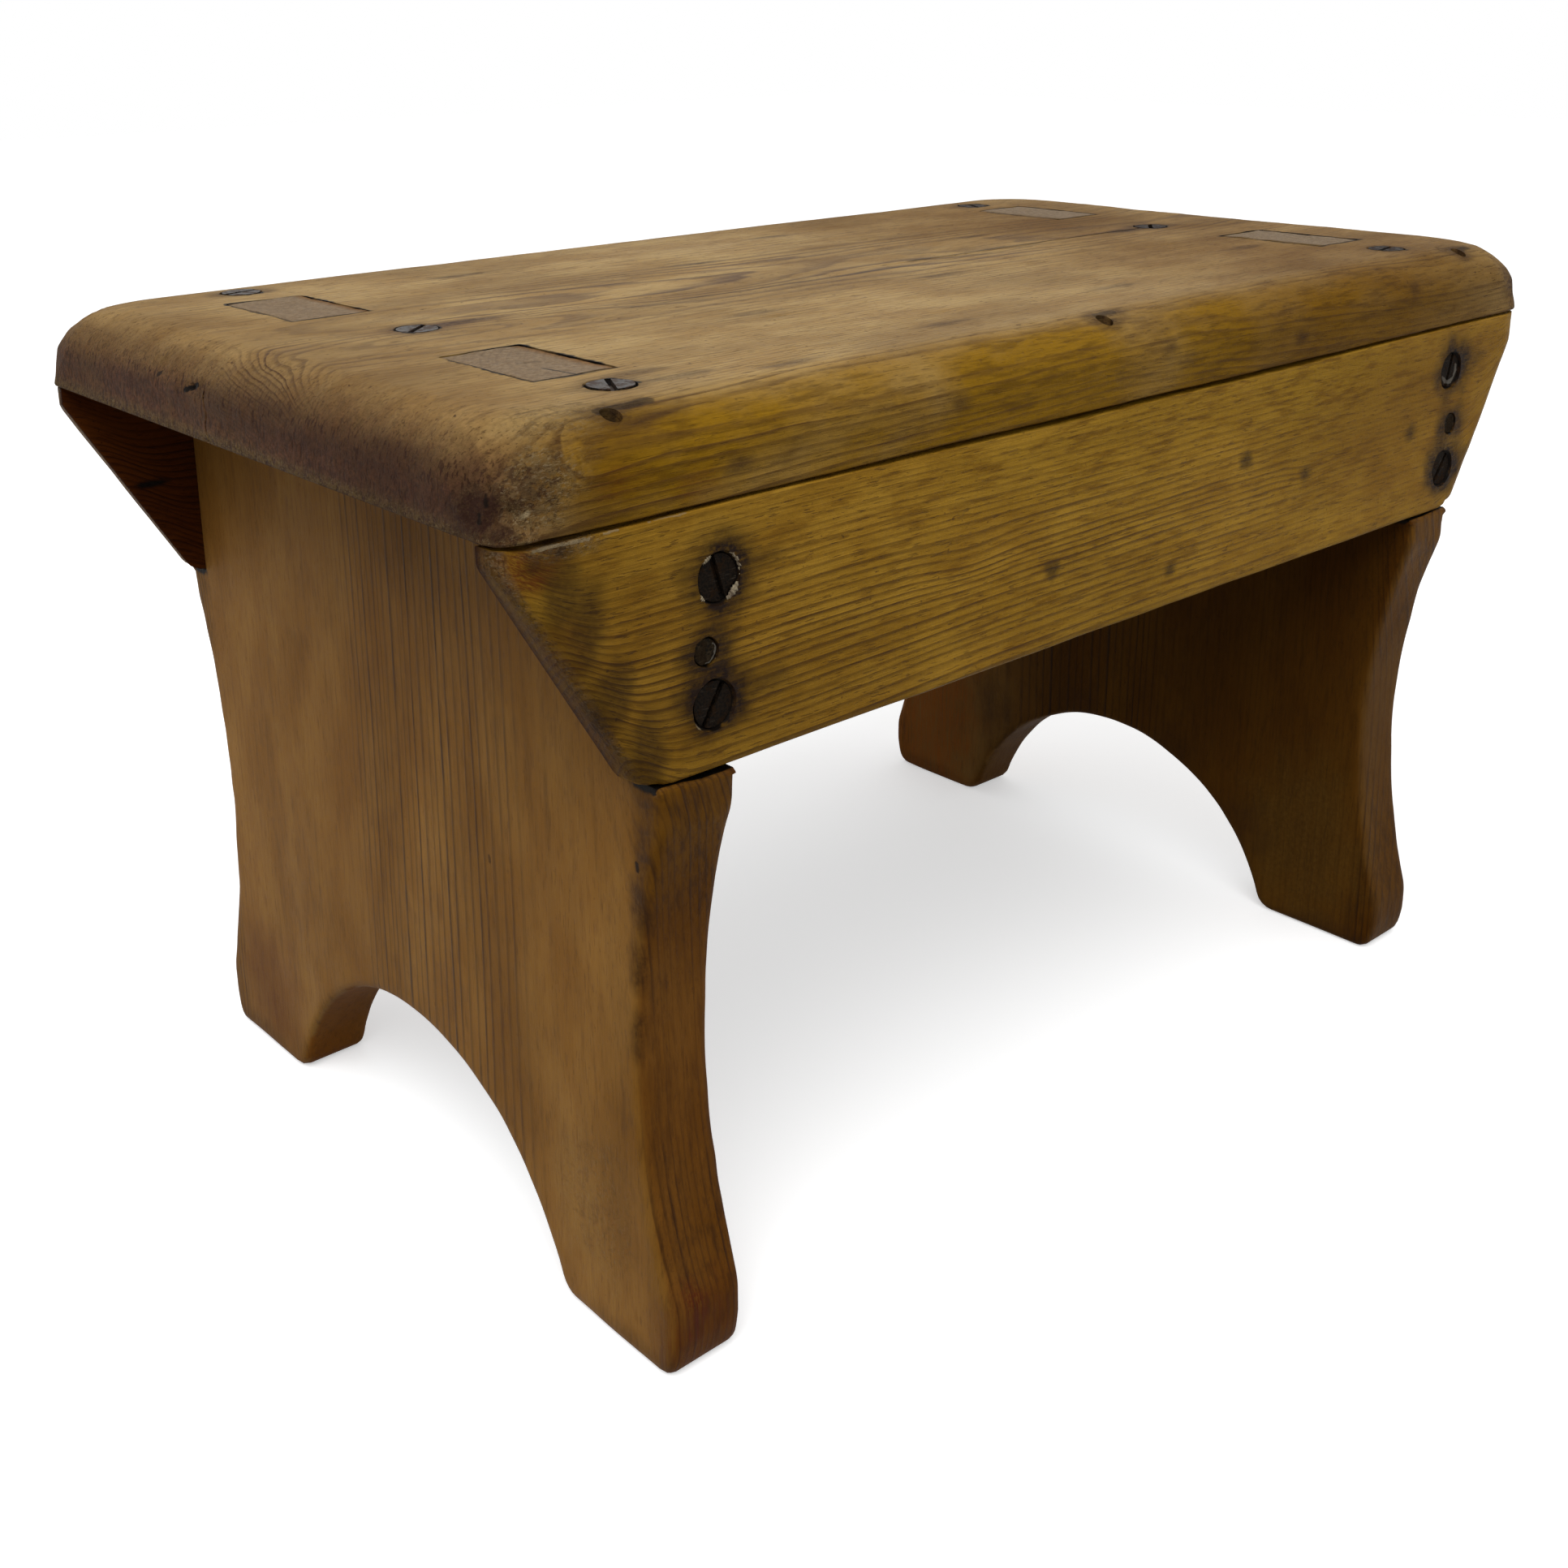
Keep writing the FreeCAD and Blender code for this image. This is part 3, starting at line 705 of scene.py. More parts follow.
class Bench:
    # short calls for building the nodes of one tree
    def __init__(self, tree):
        self.tree = tree

    def plug(self, value, socket):
        if isinstance(value, bpy.types.NodeSocket):
            self.tree.links.new(value, socket)
        else:
            socket.default_value = value

    def node(self, kind, values=(), **settings):
        # values or sockets for the inputs, in order or by name
        made = self.tree.nodes.new(kind)
        for key, value in settings.items():
            setattr(made, key, value)
        for key, value in (values.items() if isinstance(values, dict) else enumerate(values)):
            self.plug(value, made.inputs[key])
        return made

    def calc(self, operation, *values):
        return self.node("ShaderNodeMath", values, operation=operation).outputs[0]

    def times(self, first, second):
        return self.calc("MULTIPLY", first, second)

    def timesPlus(self, value, factor, more):
        return self.calc("MULTIPLY_ADD", value, factor, more)

    def vector(self, operation, *values):
        made = self.node("ShaderNodeVectorMath", values, operation=operation)
        return made.outputs["Value"] if operation in ("LENGTH", "DISTANCE", "DOT_PRODUCT") else made.outputs[0]

    def scaled(self, value, number):
        return self.node("ShaderNodeVectorMath", {0: value, "Scale": number}, operation="SCALE").outputs[0]

    def parts(self, value):
        return self.node("ShaderNodeSeparateXYZ", [value]).outputs[:]

    def joined(self, *values):
        return self.node("ShaderNodeCombineXYZ", values).outputs[0]

    def noise(self, where, size, detail=2.0, rough=0.5, seed=0.0, output="Fac"):
        size = size if isinstance(size, tuple) else (size,) * 3
        shift = (seed * 7.7, seed * 3.1, seed * 5.3)
        spot = self.vector("MULTIPLY_ADD", where, tuple(1 / s for s in size), shift)
        values = {"Vector": spot, "Scale": 1.0, "Detail": detail, "Roughness": rough}
        return self.node("ShaderNodeTexNoise", values).outputs[output]

    def drift(self, where, size, amount, seed):
        colour = self.noise(where, size, 1.0, 0.5, seed, "Color")
        return self.scaled(self.vector("SUBTRACT", colour, (0.5, 0.5, 0.5)), amount)

    def step(self, value, low, high):
        values = {"Value": value, "From Min": low, "From Max": high}
        return self.node("ShaderNodeMapRange", values, interpolation_type="SMOOTHSTEP").outputs["Result"]

    def mix(self, amount, first, second, mode="MIX"):
        values = {0: amount, 6: first, 7: second}
        mixed = self.node("ShaderNodeMix", values, data_type="RGBA", blend_type=mode, clamp_factor=True)
        return mixed.outputs[2]

    def attribute(self, name):
        return self.node("ShaderNodeAttribute", attribute_name=name).outputs["Fac"]

    def marks(self, where, marks):
        # short lines on a face: from, to, half width, strength; flat shrinks the axis across the face
        flats, total = {}, 0.0
        for first, last, width, strength, flat in marks:
            if flat not in flats:
                flats[flat] = self.vector("MULTIPLY", where, flat)
            first, last = Vector(first) * Vector(flat), Vector(last) * Vector(flat)
            length, way = (last - first).length, tuple((last - first).normalized())
            offset = self.vector("SUBTRACT", flats[flat], tuple(first))
            along = self.calc("MAXIMUM", self.vector("DOT_PRODUCT", offset, way), 0.0)
            along = self.calc("MINIMUM", along, length)
            near = self.vector("DISTANCE", offset, self.scaled(way, along))
            line = self.times(self.step(near, width, width * 0.55), strength)
            total = self.calc("MAXIMUM", total, line)
        return total


class Paintbox(Bench):
    # the nodes of one material
    def __init__(self, name):
        self.material = bpy.data.materials.new(name)
        self.material.use_nodes = True
        super().__init__(self.material.node_tree)
        self.shader = self.tree.nodes["Principled BSDF"]
        self.colour = None

    def set(self, values):
        for key, value in values.items():
            self.plug(value, self.shader.inputs[key])

    def coat(self, amount, over, mode="MIX"):
        # lays a colour over what is there
        self.colour = self.mix(amount, self.colour, over, mode)

    def bump(self, height, strength, distance):
        values = {"Strength": strength, "Distance": distance * metre, "Height": height}
        self.set({"Normal": self.node("ShaderNodeBump", values).outputs[0]})

    def place(self):
        coordinates = self.node("ShaderNodeTexCoord")
        return self.scaled(coordinates.outputs["Object"], 1 / metre), coordinates.outputs["Normal"]


# Screws and nails repeat, so one Geometry Nodes tree turns them all from their sizes
screwSizes = {
    "Head Radius": 4.5, "Rim": 0.35, "Shank Radius": 2.2, "Root Radius": 1.5, "Pitch": 1.9,
    "Tip": 4.5, "Slot Width": 1.25, "Slot Depth": 1.1, "Wear": 0.16,
}
apronNailSizes = {
    "Head Radius": 2.55, "Rim": 0.9, "Shank Radius": 1.1, "Root Radius": 1.1, "Pitch": 1.9,
    "Tip": 3.0, "Slot Width": 1.0, "Slot Depth": 0, "Wear": 0.5,
}
edgeNailSizes = dict(apronNailSizes, **{"Head Radius": 1.74, "Rim": 1.6, "Wear": 0.2})
turnedFaces = {"Vertices": 40, "Side Segments": 84, "Fill Segments": 7}
lumpScale = 620.0   # of the noise that the metal wanders by, per metre


def fastenerTree():
    tree = bpy.data.node_groups.new("turnedFasteners", "GeometryNodeTree")
    sockets = [("Geometry", "Geometry")]
    sockets += [(name, "Float") for name in (*screwSizes, "Thread Start", "Length")]
    for name, kind in sockets + [("Seed", "Int"), ("Finish", "Material")]:
        tree.interface.new_socket(name, in_out="INPUT", socket_type="NodeSocket" + kind)
    tree.interface.new_socket("Geometry", in_out="OUTPUT", socket_type="NodeSocketGeometry")
    bench = Bench(tree)
    calc, times, node = bench.calc, bench.times, bench.node
    given = node("NodeGroupInput").outputs
    wide, rim, shank, root = (given[name] for name in ("Head Radius", "Rim", "Shank Radius", "Root Radius"))

    def either(test, yes, no):
        return calc("ADD", times(test, yes), times(calc("SUBTRACT", 1.0, test), no))

    stock = node("GeometryNodeMeshCylinder", dict(turnedFaces, Radius=1.0, Depth=1.0))
    x, y, z = bench.parts(node("GeometryNodeInputPosition").outputs[0])
    down = calc("SUBTRACT", 0.5, z)
    depth = times(times(down, bench.timesPlus(down, 0.68, 0.32)), given["Length"])
    # radius at this depth: rim, cone, plain shank, thread, tip
    cone = calc("SUBTRACT", wide, calc("MAXIMUM", calc("SUBTRACT", depth, rim), 0.0))
    hasCone = calc("GREATER_THAN", given["Slot Depth"], 0.0)
    flatHead = either(calc("GREATER_THAN", depth, rim), shank, wide)
    neck = either(hasCone, calc("MAXIMUM", cone, shank), flatHead)
    angle = calc("DIVIDE", calc("ARCTAN2", y, x), math.tau)
    turn = calc("FRACT", calc("ADD", calc("DIVIDE", depth, given["Pitch"]), angle))
    ridge = calc("ABSOLUTE", bench.timesPlus(turn, 2.0, -1.0))
    thread = calc("ADD", root, times(ridge, calc("SUBTRACT", shank, root)))
    shaft = either(calc("GREATER_THAN", depth, given["Thread Start"]), thread, neck)
    tipStart = calc("SUBTRACT", given["Length"], given["Tip"])
    taper = calc("DIVIDE", calc("SUBTRACT", given["Length"], depth), given["Tip"])
    taper = calc("MAXIMUM", calc("MINIMUM", taper, 1.0), 0.04)
    radius = either(calc("GREATER_THAN", depth, tipStart), times(taper, root), shaft)
    shape = bench.joined(times(x, radius), times(y, radius), times(depth, -1.0))
    formed = node("GeometryNodeSetPosition", [stock.outputs["Mesh"], True, shape]).outputs[0]
    # the slot
    slotDepth = times(calc("MAXIMUM", given["Slot Depth"], 1e-5), 2.0)
    cutterSize = bench.joined(times(wide, 2.6), given["Slot Width"], slotDepth)
    cutter = node("GeometryNodeMeshCube", {"Size": cutterSize})
    slotted = node("GeometryNodeMeshBoolean", [formed, cutter.outputs["Mesh"]],
                   operation="DIFFERENCE", solver="EXACT")
    choice = node("GeometryNodeSwitch", [hasCone, formed, slotted.outputs["Mesh"]], input_type="GEOMETRY")
    # one at each point, pointing where the point says
    lean = node("GeometryNodeInputNamedAttribute", {"Name": "drive"}, data_type="FLOAT_VECTOR")
    euler = node("FunctionNodeEulerToRotation", [lean.outputs[0]])
    each = node("GeometryNodeInstanceOnPoints", {"Points": given["Geometry"], "Instance": choice.outputs[0],
                                                 "Rotation": euler.outputs[0]})
    real = node("GeometryNodeRealizeInstances", [each.outputs[0]])
    # years of rubbing and rust: the metal wanders a little
    lump = node("ShaderNodeTexNoise", noise_dimensions="4D")
    for key, value in (("Scale", lumpScale), ("Detail", 2.0), ("W", given["Seed"])):
        bench.plug(value, lump.inputs[key])
    offset = bench.scaled(bench.vector("SUBTRACT", lump.outputs["Color"], (0.5, 0.5, 0.5)), given["Wear"])
    worn = node("GeometryNodeSetPosition", {"Geometry": real.outputs[0], "Offset": offset})
    finish = node("GeometryNodeSetMaterial", {"Geometry": worn.outputs[0], "Material": given["Finish"]})
    node("NodeGroupOutput", [finish.outputs[0]])
    return tree


fasteners = fastenerTree()


def makeFasteners(name, node, slot, heads, sizes, length, threadStart, material, seed):
    # heads: place of the middle of the head, which way it points and the turn of its slot
    mesh = bpy.data.meshes.new(name)
    mesh.from_pydata([tuple(np.array(place) * metre) for place, lean, turn in heads], [], [])
    drive = mesh.attributes.new("drive", "FLOAT_VECTOR", "POINT")
    for number, (place, lean, turn) in enumerate(heads):
        drive.data[number].vector = (lean @ Matrix.Rotation(math.radians(turn), 3, "Z")).to_euler()
    points = linked(name + "Points", mesh)
    modifier = points.modifiers.new("fasteners", "NODES")
    modifier.node_group = fasteners
    values = {key: value * metre for key, value in sizes.items()}
    values.update({"Length": length * metre, "Thread Start": threadStart * metre})
    values.update({"Seed": seed, "Finish": material})
    for socket in fasteners.interface.items_tree:
        if socket.in_out == "INPUT" and socket.name in values:
            modifier[socket.identifier] = values[socket.name]
    bpy.context.view_layer.update()
    solid = bpy.data.meshes.new_from_object(points.evaluated_get(bpy.context.evaluated_depsgraph_get()))
    bpy.data.objects.remove(points)
    solid.name = name
    return finishPiece(linked(name, solid), node, slot, 34)


# materials
def paint(red, green, blue):
    # a colour as a screen shows it, made linear
    def linear(value):
        share = value / 255
        return share / 12.92 if share <= 0.04045 else ((share + 0.055) / 1.055) ** 2.4
    return linear(red), linear(green), linear(blue), 1.0


def woodMaterial(name, look):
    box = Paintbox(name)
    calc, times, timesPlus, step, noise = box.calc, box.times, box.timesPlus, box.step, box.noise
    mix, coat, vector = box.mix, box.coat, box.vector
    figure, golden, lilac, red, wear, paintedShade, stainAndShade, crack = (
        box.attribute(key) for key in ("figure", "golden", "lilac", "red", "wear", "paintedShade", "stainAndShade", "crack"))
    where, facing = box.place()
    (x, y, z), (nx, ny, nz) = box.parts(where), box.parts(facing)
    seed, (first, second) = look["seed"], look["pith"]

    def tint(key):
        return paint(*look[key])

    def hump(value):
        return calc("EXPONENT", times(times(value, value), -1.0))

    def swing(value, amount, middle=0):
        # a noise as a change round a middle value
        return timesPlus(value, amount, middle - amount / 2)

    if look["grain"] == "X":
        level = calc("SUBTRACT", z, second)
        if look["bend"]:   # the lines turn up where the sloping ends are rounded over
            inside = calc("SUBTRACT", timesPlus(z, 0.6, 63.5), calc("ABSOLUTE", x))
            inside = calc("DIVIDE", calc("MAXIMUM", inside, 0.0), look["bendReach"])
            level = timesPlus(hump(inside), -look["bend"], level)
        fibre, endOn = box.joined(calc("SUBTRACT", y, first), level, x), nx
    else:
        # the lines on the front edge sweep over towards the top
        rise = calc("MAXIMUM", calc("SUBTRACT", z, 58.0), 0.0)
        sweep = times(times(times(rise, rise), look["sweep"]), step(calc("ABSOLUTE", y), 70, 90))
        fibre = box.joined(calc("ADD", calc("SUBTRACT", x, first), sweep), calc("SUBTRACT", y, second), z)
        endOn = nz
    # year rings: distance from the heart of the tree, bent and uneven
    bent = vector("ADD", fibre, box.drift(fibre, look["swaySize"], look["sway"], seed))
    bent = vector("ADD", bent, box.drift(fibre, (8, 8, 46), look["wobble"], seed + 1))
    bentA, bentB = box.parts(bent)[:2]
    distance = vector("LENGTH", box.joined(bentA, bentB, 0.0))
    for centre, reach, amount in look["swirls"]:
        away = vector("MULTIPLY", vector("SUBTRACT", where, centre), tuple(1 / size for size in reach))
        distance = timesPlus(hump(vector("LENGTH", away)), float(amount), distance)
    uneven = noise(box.joined(distance, seed * 1.3, 0.0), look["ring"] * 3.4, 1.0)
    count = timesPlus(uneven, look["uneven"], calc("DIVIDE", distance, look["ring"]))
    part = calc("FRACT", count)
    chance = box.node("ShaderNodeTexWhiteNoise", noise_dimensions="1D")
    box.plug(calc("FLOOR", count), chance.inputs["W"])
    late = times(step(part, look["crisp"], 0.84), calc("SUBTRACT", 1.0, step(part, 0.9, 1.0)))
    late = times(late, timesPlus(chance.outputs["Value"], 1 - look["even"], look["even"]))
    broken = step(noise(fibre, (1.1, 1.1, 15), 3.0, 0.62, seed + 2), 0.34, 0.6)
    late = times(late, timesPlus(broken, look["broken"], 1 - look["broken"]))
    shown = times(late, figure)
    # fibres, dashes and blotches
    hair = noise(fibre, (0.3, 0.3, 9), 4.0, 0.66, seed + 3)
    streak = noise(fibre, (1.9, 1.9, 44), 3.0, 0.62, seed + 4)
    fuzz = noise(where, 1.1, 4.0, 0.68, seed + 12)
    dash = step(noise(fibre, (0.4, 0.4, 4.5), 2.0, 0.5, seed + 5), 0.62, 0.68)
    flecks = noise(fibre, (1.5, 1.5, 10), 3.0, 0.6, seed + 13)
    blotch = noise(where, look["blotchSize"], 4.0, 0.6, seed + 6)
    cloud = noise(where, look["cloudSize"], 2.0, 0.5, seed + 7)
    speck = step(noise(where, 1.3, 1.0, 0.4, seed + 8), 0.72, 0.78)
    pits = step(noise(where, (1.0, 0.7, 2.0), 2.0, 0.5, seed + 14), 0.56, 0.63)
    end = step(calc("ABSOLUTE", endOn), look["endFrom"], look["endFrom"] + 0.4)
    # the board's own colours
    box.colour = mix(step(blotch, 0.34, 0.66), tint("pale"), tint("warm"))
    coat(times(step(cloud, 0.42, 0.66), look["shadeAmount"]), tint("shade"))
    coat(times(step(flecks, 0.52, 0.7), look["fleckAmount"]), tint("shade"))
    coat(times(golden, timesPlus(blotch, 0.9, 0.55)),
         mix(step(flecks, 0.44, 0.66), tint("golden"), tint("goldenDark")))
    greyed = times(lilac, timesPlus(streak, 0.7, 0.6))
    coat(greyed, mix(step(fuzz, 0.35, 0.65), tint("lilacDark"), tint("lilac")))
    sunk = times(pits, times(calc("MINIMUM", times(greyed, 1.7), 1.0), look["pitted"]))
    coat(sunk, tint("endDark"))
    coat(times(end, look["endAmount"]), mix(fuzz, tint("endDark"), tint("endPale")))
    coat(times(shown, look["lineAmount"]), tint("line"))
    tone = swing(hair, look["hairAmount"], 1)
    tone = calc("ADD", tone, swing(streak, look["streakAmount"]))
    tone = calc("ADD", tone, swing(fuzz, look["fuzzAmount"]))
    coat(1.0, box.joined(tone, tone, tone), "MULTIPLY")
    dashAmount = timesPlus(golden, -0.6 * look["dashAmount"], look["dashAmount"])
    coat(times(calc("ADD", dash, speck), dashAmount), tint("dash"))
    # rubbed and broken places, and red patches that are partly painted light on the right leg
    coat(times(red, step(hair, 0.3, 0.62)), tint("red"))
    worn = times(wear, step(fuzz, 0.36, 0.6))
    coat(times(worn, 0.8), tint("worn"))
    mottle = times(step(noise(where, 1.5, 4.0, 0.7, seed + 18), 0.5, 0.62), wear)
    coat(times(mottle, 0.75), tint("endDark"))
    splinters = times(step(noise(fibre, (0.45, 0.45, 1.5), 3.0, 0.65, seed + 17), 0.55, 0.64), wear)
    coat(times(splinters, 0.7), tint("scar"))
    # painted shade: inner faces, undersides, the leg arches and lower edges, and parts of the seat and front
    # apron towards their ends are multiplied darker
    coat(paintedShade, mix(1.0, box.colour, tint("paintedShade"), "MULTIPLY"))
    # stains creep along the grain, and so does the painted shade laid into this layer on the legs
    grit = timesPlus(fuzz, 0.45, times(noise(fibre, (0.8, 0.8, 5), 4.0, 0.66, seed + 10), 0.55))
    coat(times(stainAndShade, swing(step(grit, 0.3, 0.68), look["creep"], 1.0)), tint("stainAndShade"))
    ragged = vector("ADD", where, box.drift(where, 5.0, 1.0, seed + 15))
    ragged = vector("ADD", ragged, box.drift(where, 0.9, 0.5, seed + 16))
    coat(box.marks(ragged, look["scars"]), tint("scar"))
    coat(box.marks(ragged, look["marks"]), tint("crack"))
    coat(step(crack, 0.12, 0.6), tint("crack"))
    rough = timesPlus(fuzz, 0.22, timesPlus(cloud, 0.16, look["rough"]))
    rough = calc("ADD", rough, timesPlus(calc("MAXIMUM", worn, paintedShade), 0.16, times(shown, -0.08)))
    box.set({"Base Color": box.colour, "Roughness": rough, "Specular IOR Level": look["shine"]})
    # hard late wood stands proud, pores and dashes are sunk
    height = timesPlus(shown, look["relief"], times(hair, 0.3))
    height = timesPlus(dash, -0.3, height)
    height = timesPlus(step(grit, 0.5, 0.72), times(stainAndShade, -0.15), height)
    woolly = timesPlus(calc("ADD", calc("MAXIMUM", worn, lilac), end), 0.7, look["fuzzRelief"])
    height = timesPlus(fuzz, woolly, height)
    box.bump(timesPlus(calc("MAXIMUM", sunk, mottle), -0.6, height), look["bump"], 0.6)
    return box.material


def strokes(flat, *rows):
    # marks on one face: flat shrinks the axis across it
    return [(*row, flat) for row in rows]


def arc(x, z, radius, start, sweep, width, strength):
    # a thin curved line on the face of an apron, as six straight ones
    angles = [math.radians(start + sweep * k / 6) for k in range(7)]
    spots = [(x + radius * math.cos(angle), -halfWidth, z + radius * math.sin(angle)) for angle in angles]
    return strokes((1, 0.2, 1), *((first, last, width, strength) for first, last in zip(spots, spots[1:])))


onTop, onEnd, onCorner = (1, 1, 0.1), (0.2, 1, 1), (0.8, 0.3, 1)
pine = dict(
    # grain: along which axis, heart of the tree, ring width, how the rings sway and break
    grain="X", pith=(12, 100), ring=0.95, seed=1, bend=0, bendReach=7, swaySize=(60, 60, 230), sway=14,
    wobble=1.4, uneven=1.6, even=0.45, broken=0.45, crisp=0.4, sweep=0.0,
    swirls=[((-122, -5, 199), (46, 10, 12), 6), ((-168, -82, 190), (9, 12, 8), 5)],
    # colours, each with its amount
    pale=(168, 139, 88), warm=(148, 117, 68), shade=(106, 79, 45), shadeAmount=0.45, fleckAmount=0.5,
    line=(70, 44, 20), lineAmount=1.0, golden=(132, 96, 13), goldenDark=(106, 75, 7),
    hairAmount=0.5, streakAmount=0.26, fuzzAmount=0.38, dash=(66, 42, 22), dashAmount=0.6,
    endFrom=0.35, endAmount=0.45, endDark=(50, 30, 20), endPale=(98, 68, 48),
    lilac=(118, 80, 62), lilacDark=(58, 32, 23), red=(88, 36, 14), worn=(116, 98, 64), paintedShade=(190, 173, 150),
    stainAndShade=(46, 27, 18), creep=0.9, crack=(12, 7, 4), scar=(150, 132, 100),
    blotchSize=(22, 10, 12), cloudSize=(70, 36, 36), pitted=1.0,
    rough=0.38, shine=0.055, relief=0.22, fuzzRelief=0.3, bump=0.6,
    # strokes: from, to, half width, strength
    scars=strokes(onCorner, ((-164.8, -94.6, 184.9), (-162.9, -94.6, 186.1), 0.7, 0.8),
                  ((-166.2, -93.4, 188.6), (-164.4, -94, 188.2), 0.4, 0.5)),
    marks=strokes(onTop, ((22, -1.2, 200), (119, -1.8, 200), 0.75, 0.6),
                  ((-75, -9, 200), (66, -5.5, 200), 0.6, 0.42), ((48, 4.6, 200), (108, 3.6, 200), 0.5, 0.35))
    + strokes(onEnd, ((-169.5, 13.4, 192.4), (-169.5, 18.6, 190.6), 0.7, 1.0),
              ((-169.5, 30.8, 192.5), (-169.5, 32.4, 191.8), 0.6, 0.85))
    + strokes((0.2, 0.8, 1), ((-170, -88.0, 188.8), (-170, -88.4, 187.2), 0.75, 0.95),
              ((-170, -89.8, 187.2), (-169, -91, 186.2), 0.6, 0.85),
              ((-170, -87.2, 185.6), (-170, -87.6, 184.4), 0.6, 0.8))
    + strokes(onCorner, ((-165.6, -94.4, 187.2), (-164.9, -94.6, 186.8), 0.8, 0.95),
              ((-167, -94, 186.6), (-166.3, -94, 186.3), 0.5, 0.7))
    + strokes((1, 1, 0.3), ((-143.6, -86.8, 199), (-131.5, -86.1, 199), 1.25, 0.62),
              ((-8, -86.2, 199.4), (-2, -85.8, 199.4), 1.2, 0.5),
              ((146, -87.2, 199), (150, -87, 199), 1.4, 0.5)),
)
tenonX, tenonY = (sum(seat[key]) / 2 for key in ("mortiseX", "mortiseY"))
for middleX in (-tenonX, tenonX):   # painted shade: dark lines in the joint gaps along the near sides of the tenons
    for middleY in (-tenonY, tenonY):
        near = (middleX - 9.7, middleY - 16.2, 200)
        pine["marks"] += strokes(onTop, (near, (middleX - 9.7, middleY + 12, 200), 0.5, 0.75),
                                 (near, (middleX + 9.5, middleY - 16.2, 200), 0.5, 0.7))
apronPine = dict(
    pine, bend=7, even=0.6, broken=0.4, pale=(172, 130, 44), warm=(150, 109, 31), shade=(104, 70, 18),
    shadeAmount=0.35, line=(62, 36, 10), lineAmount=0.85, golden=(160, 122, 34), goldenDark=(118, 84, 16),
    fuzzAmount=0.36, endFrom=0.6, endAmount=0.7, endDark=(40, 24, 10), endPale=(80, 52, 24), worn=(112, 92, 66),
    paintedShade=(124, 86, 64), stainAndShade=(28, 16, 9), creep=0.5, scar=(142, 126, 98), blotchSize=(20, 12, 9),
    marks=[], scars=[],
)
legPine = dict(
    pine, grain="Z", swaySize=(70, 70, 260), wobble=0.8, even=0.4, crisp=0.54, sweep=0.0022, swirls=[],
    pale=(158, 114, 55), warm=(142, 98, 41), shade=(108, 69, 28), fleckAmount=0.3, line=(50, 29, 9),
    golden=(100, 63, 6), goldenDark=(68, 40, 3), hairAmount=0.36, fuzzAmount=0.2, dashAmount=0.25,
    endAmount=0.15, lilac=(142, 124, 98), lilacDark=(116, 98, 74), paintedShade=(236, 202, 150), stainAndShade=(48, 28, 13),
    blotchSize=(14, 14, 34), cloudSize=(44, 44, 80), pitted=0.15, fuzzRelief=0.12, scars=[],
    marks=strokes(onEnd, ((-138.5, -87.2, 112.4), (-138.5, -87.35, 111), 0.6, 0.9),
                  ((-138.5, -37, 96), (-138.5, -37, 94.6), 0.6, 0.6))
    + strokes(onTop, ((-130.4, -52.3, 200), (-129.1, -60.6, 200), 0.45, 0.8),
              ((-131, -45.4, 200), (-127, -46.6, 200), 0.6, 0.3)),
)
chips = strokes((1, 0.3, 1), ((-163, -95, 180.1), (-152, -95, 179.9), 0.4, 0.7),
                ((-149, -95, 180.2), (-146, -95, 180.2), 0.35, 0.6),
                ((-139, -95, 180.3), (-131, -95, 180.4), 0.3, 0.5))
chips += arc(*screwPlaces["apron"][1][:2], 4.9, 190, 40, 0.32, 0.7)
chips += arc(*nailPlaces["apron"][0], 2.7, -80, 120, 0.22, 0.6)
woodLooks = {
    "seatPine": pine,
    "frontApronPine": dict(apronPine, scars=chips, pith=(-155, 66), ring=1.4, seed=2, sway=6, wobble=0.9,
                           swirls=[((-56, -95, 156), (12, 8, 5), 1.2), ((66, -95, 153), (8, 6, 4), 0.9)]),
    "backApronPine": dict(apronPine, pith=(148, 62), ring=1.5, seed=3, sway=8,
                          swirls=[((70, 95, 158), (16, 8, 7), 4), ((-90, 95, 146), (10, 8, 5), 3)]),
    "leftLegPine": dict(legPine, pith=(-60, -85), ring=1.75, seed=4, sway=8),
    "rightLegPine": dict(legPine, pith=(56, 66), ring=1.8, seed=5, sway=9, pale=(140, 104, 54),
                         warm=(124, 88, 42), shade=(98, 66, 30), paintedShade=(184, 164, 100), red=(136, 78, 24)),
}


def ironMaterial(name, look):
    box = Paintbox(name)
    where, facing = box.place()
    grain = box.noise(where, 0.55, 4.0, 0.65, look["seed"])
    patch = box.noise(where, 2.1, 3.0, 0.6, look["seed"] + 1)
    scratch = box.noise(where, (3.5, 0.16, 0.3), 2.0, 0.5, look["seed"] + 2)
    rust = box.calc("ADD", patch, box.timesPlus(grain, 0.3, -0.15))
    rust = box.step(rust, look["rustFrom"], look["rustFrom"] + 0.14)
    box.colour = box.mix(box.step(grain, 0.35, 0.65), paint(*look["dark"]), paint(*look["light"]))
    box.coat(box.times(rust, look["rustAmount"]), paint(*look["rust"]))
    box.coat(box.times(box.step(scratch, 0.62, 0.74), look["scratchAmount"]), paint(*look["scratch"]))
    ragged = box.vector("ADD", where, box.drift(where, 1.1, 1.1, 9))
    box.coat(box.marks(ragged, look["rims"]), paint(118, 112, 102))
    box.set({
        "Base Color": box.colour, "Specular IOR Level": look["shine"],
        "Metallic": box.calc("SUBTRACT", look["metal"], box.times(rust, 0.5)),
        "Roughness": box.timesPlus(grain, 0.3, box.timesPlus(rust, 0.2, look["rough"])),
    })
    box.bump(box.calc("ADD", box.times(grain, 0.7), box.times(patch, 0.8)), look["bump"], 0.25)
    return box.material


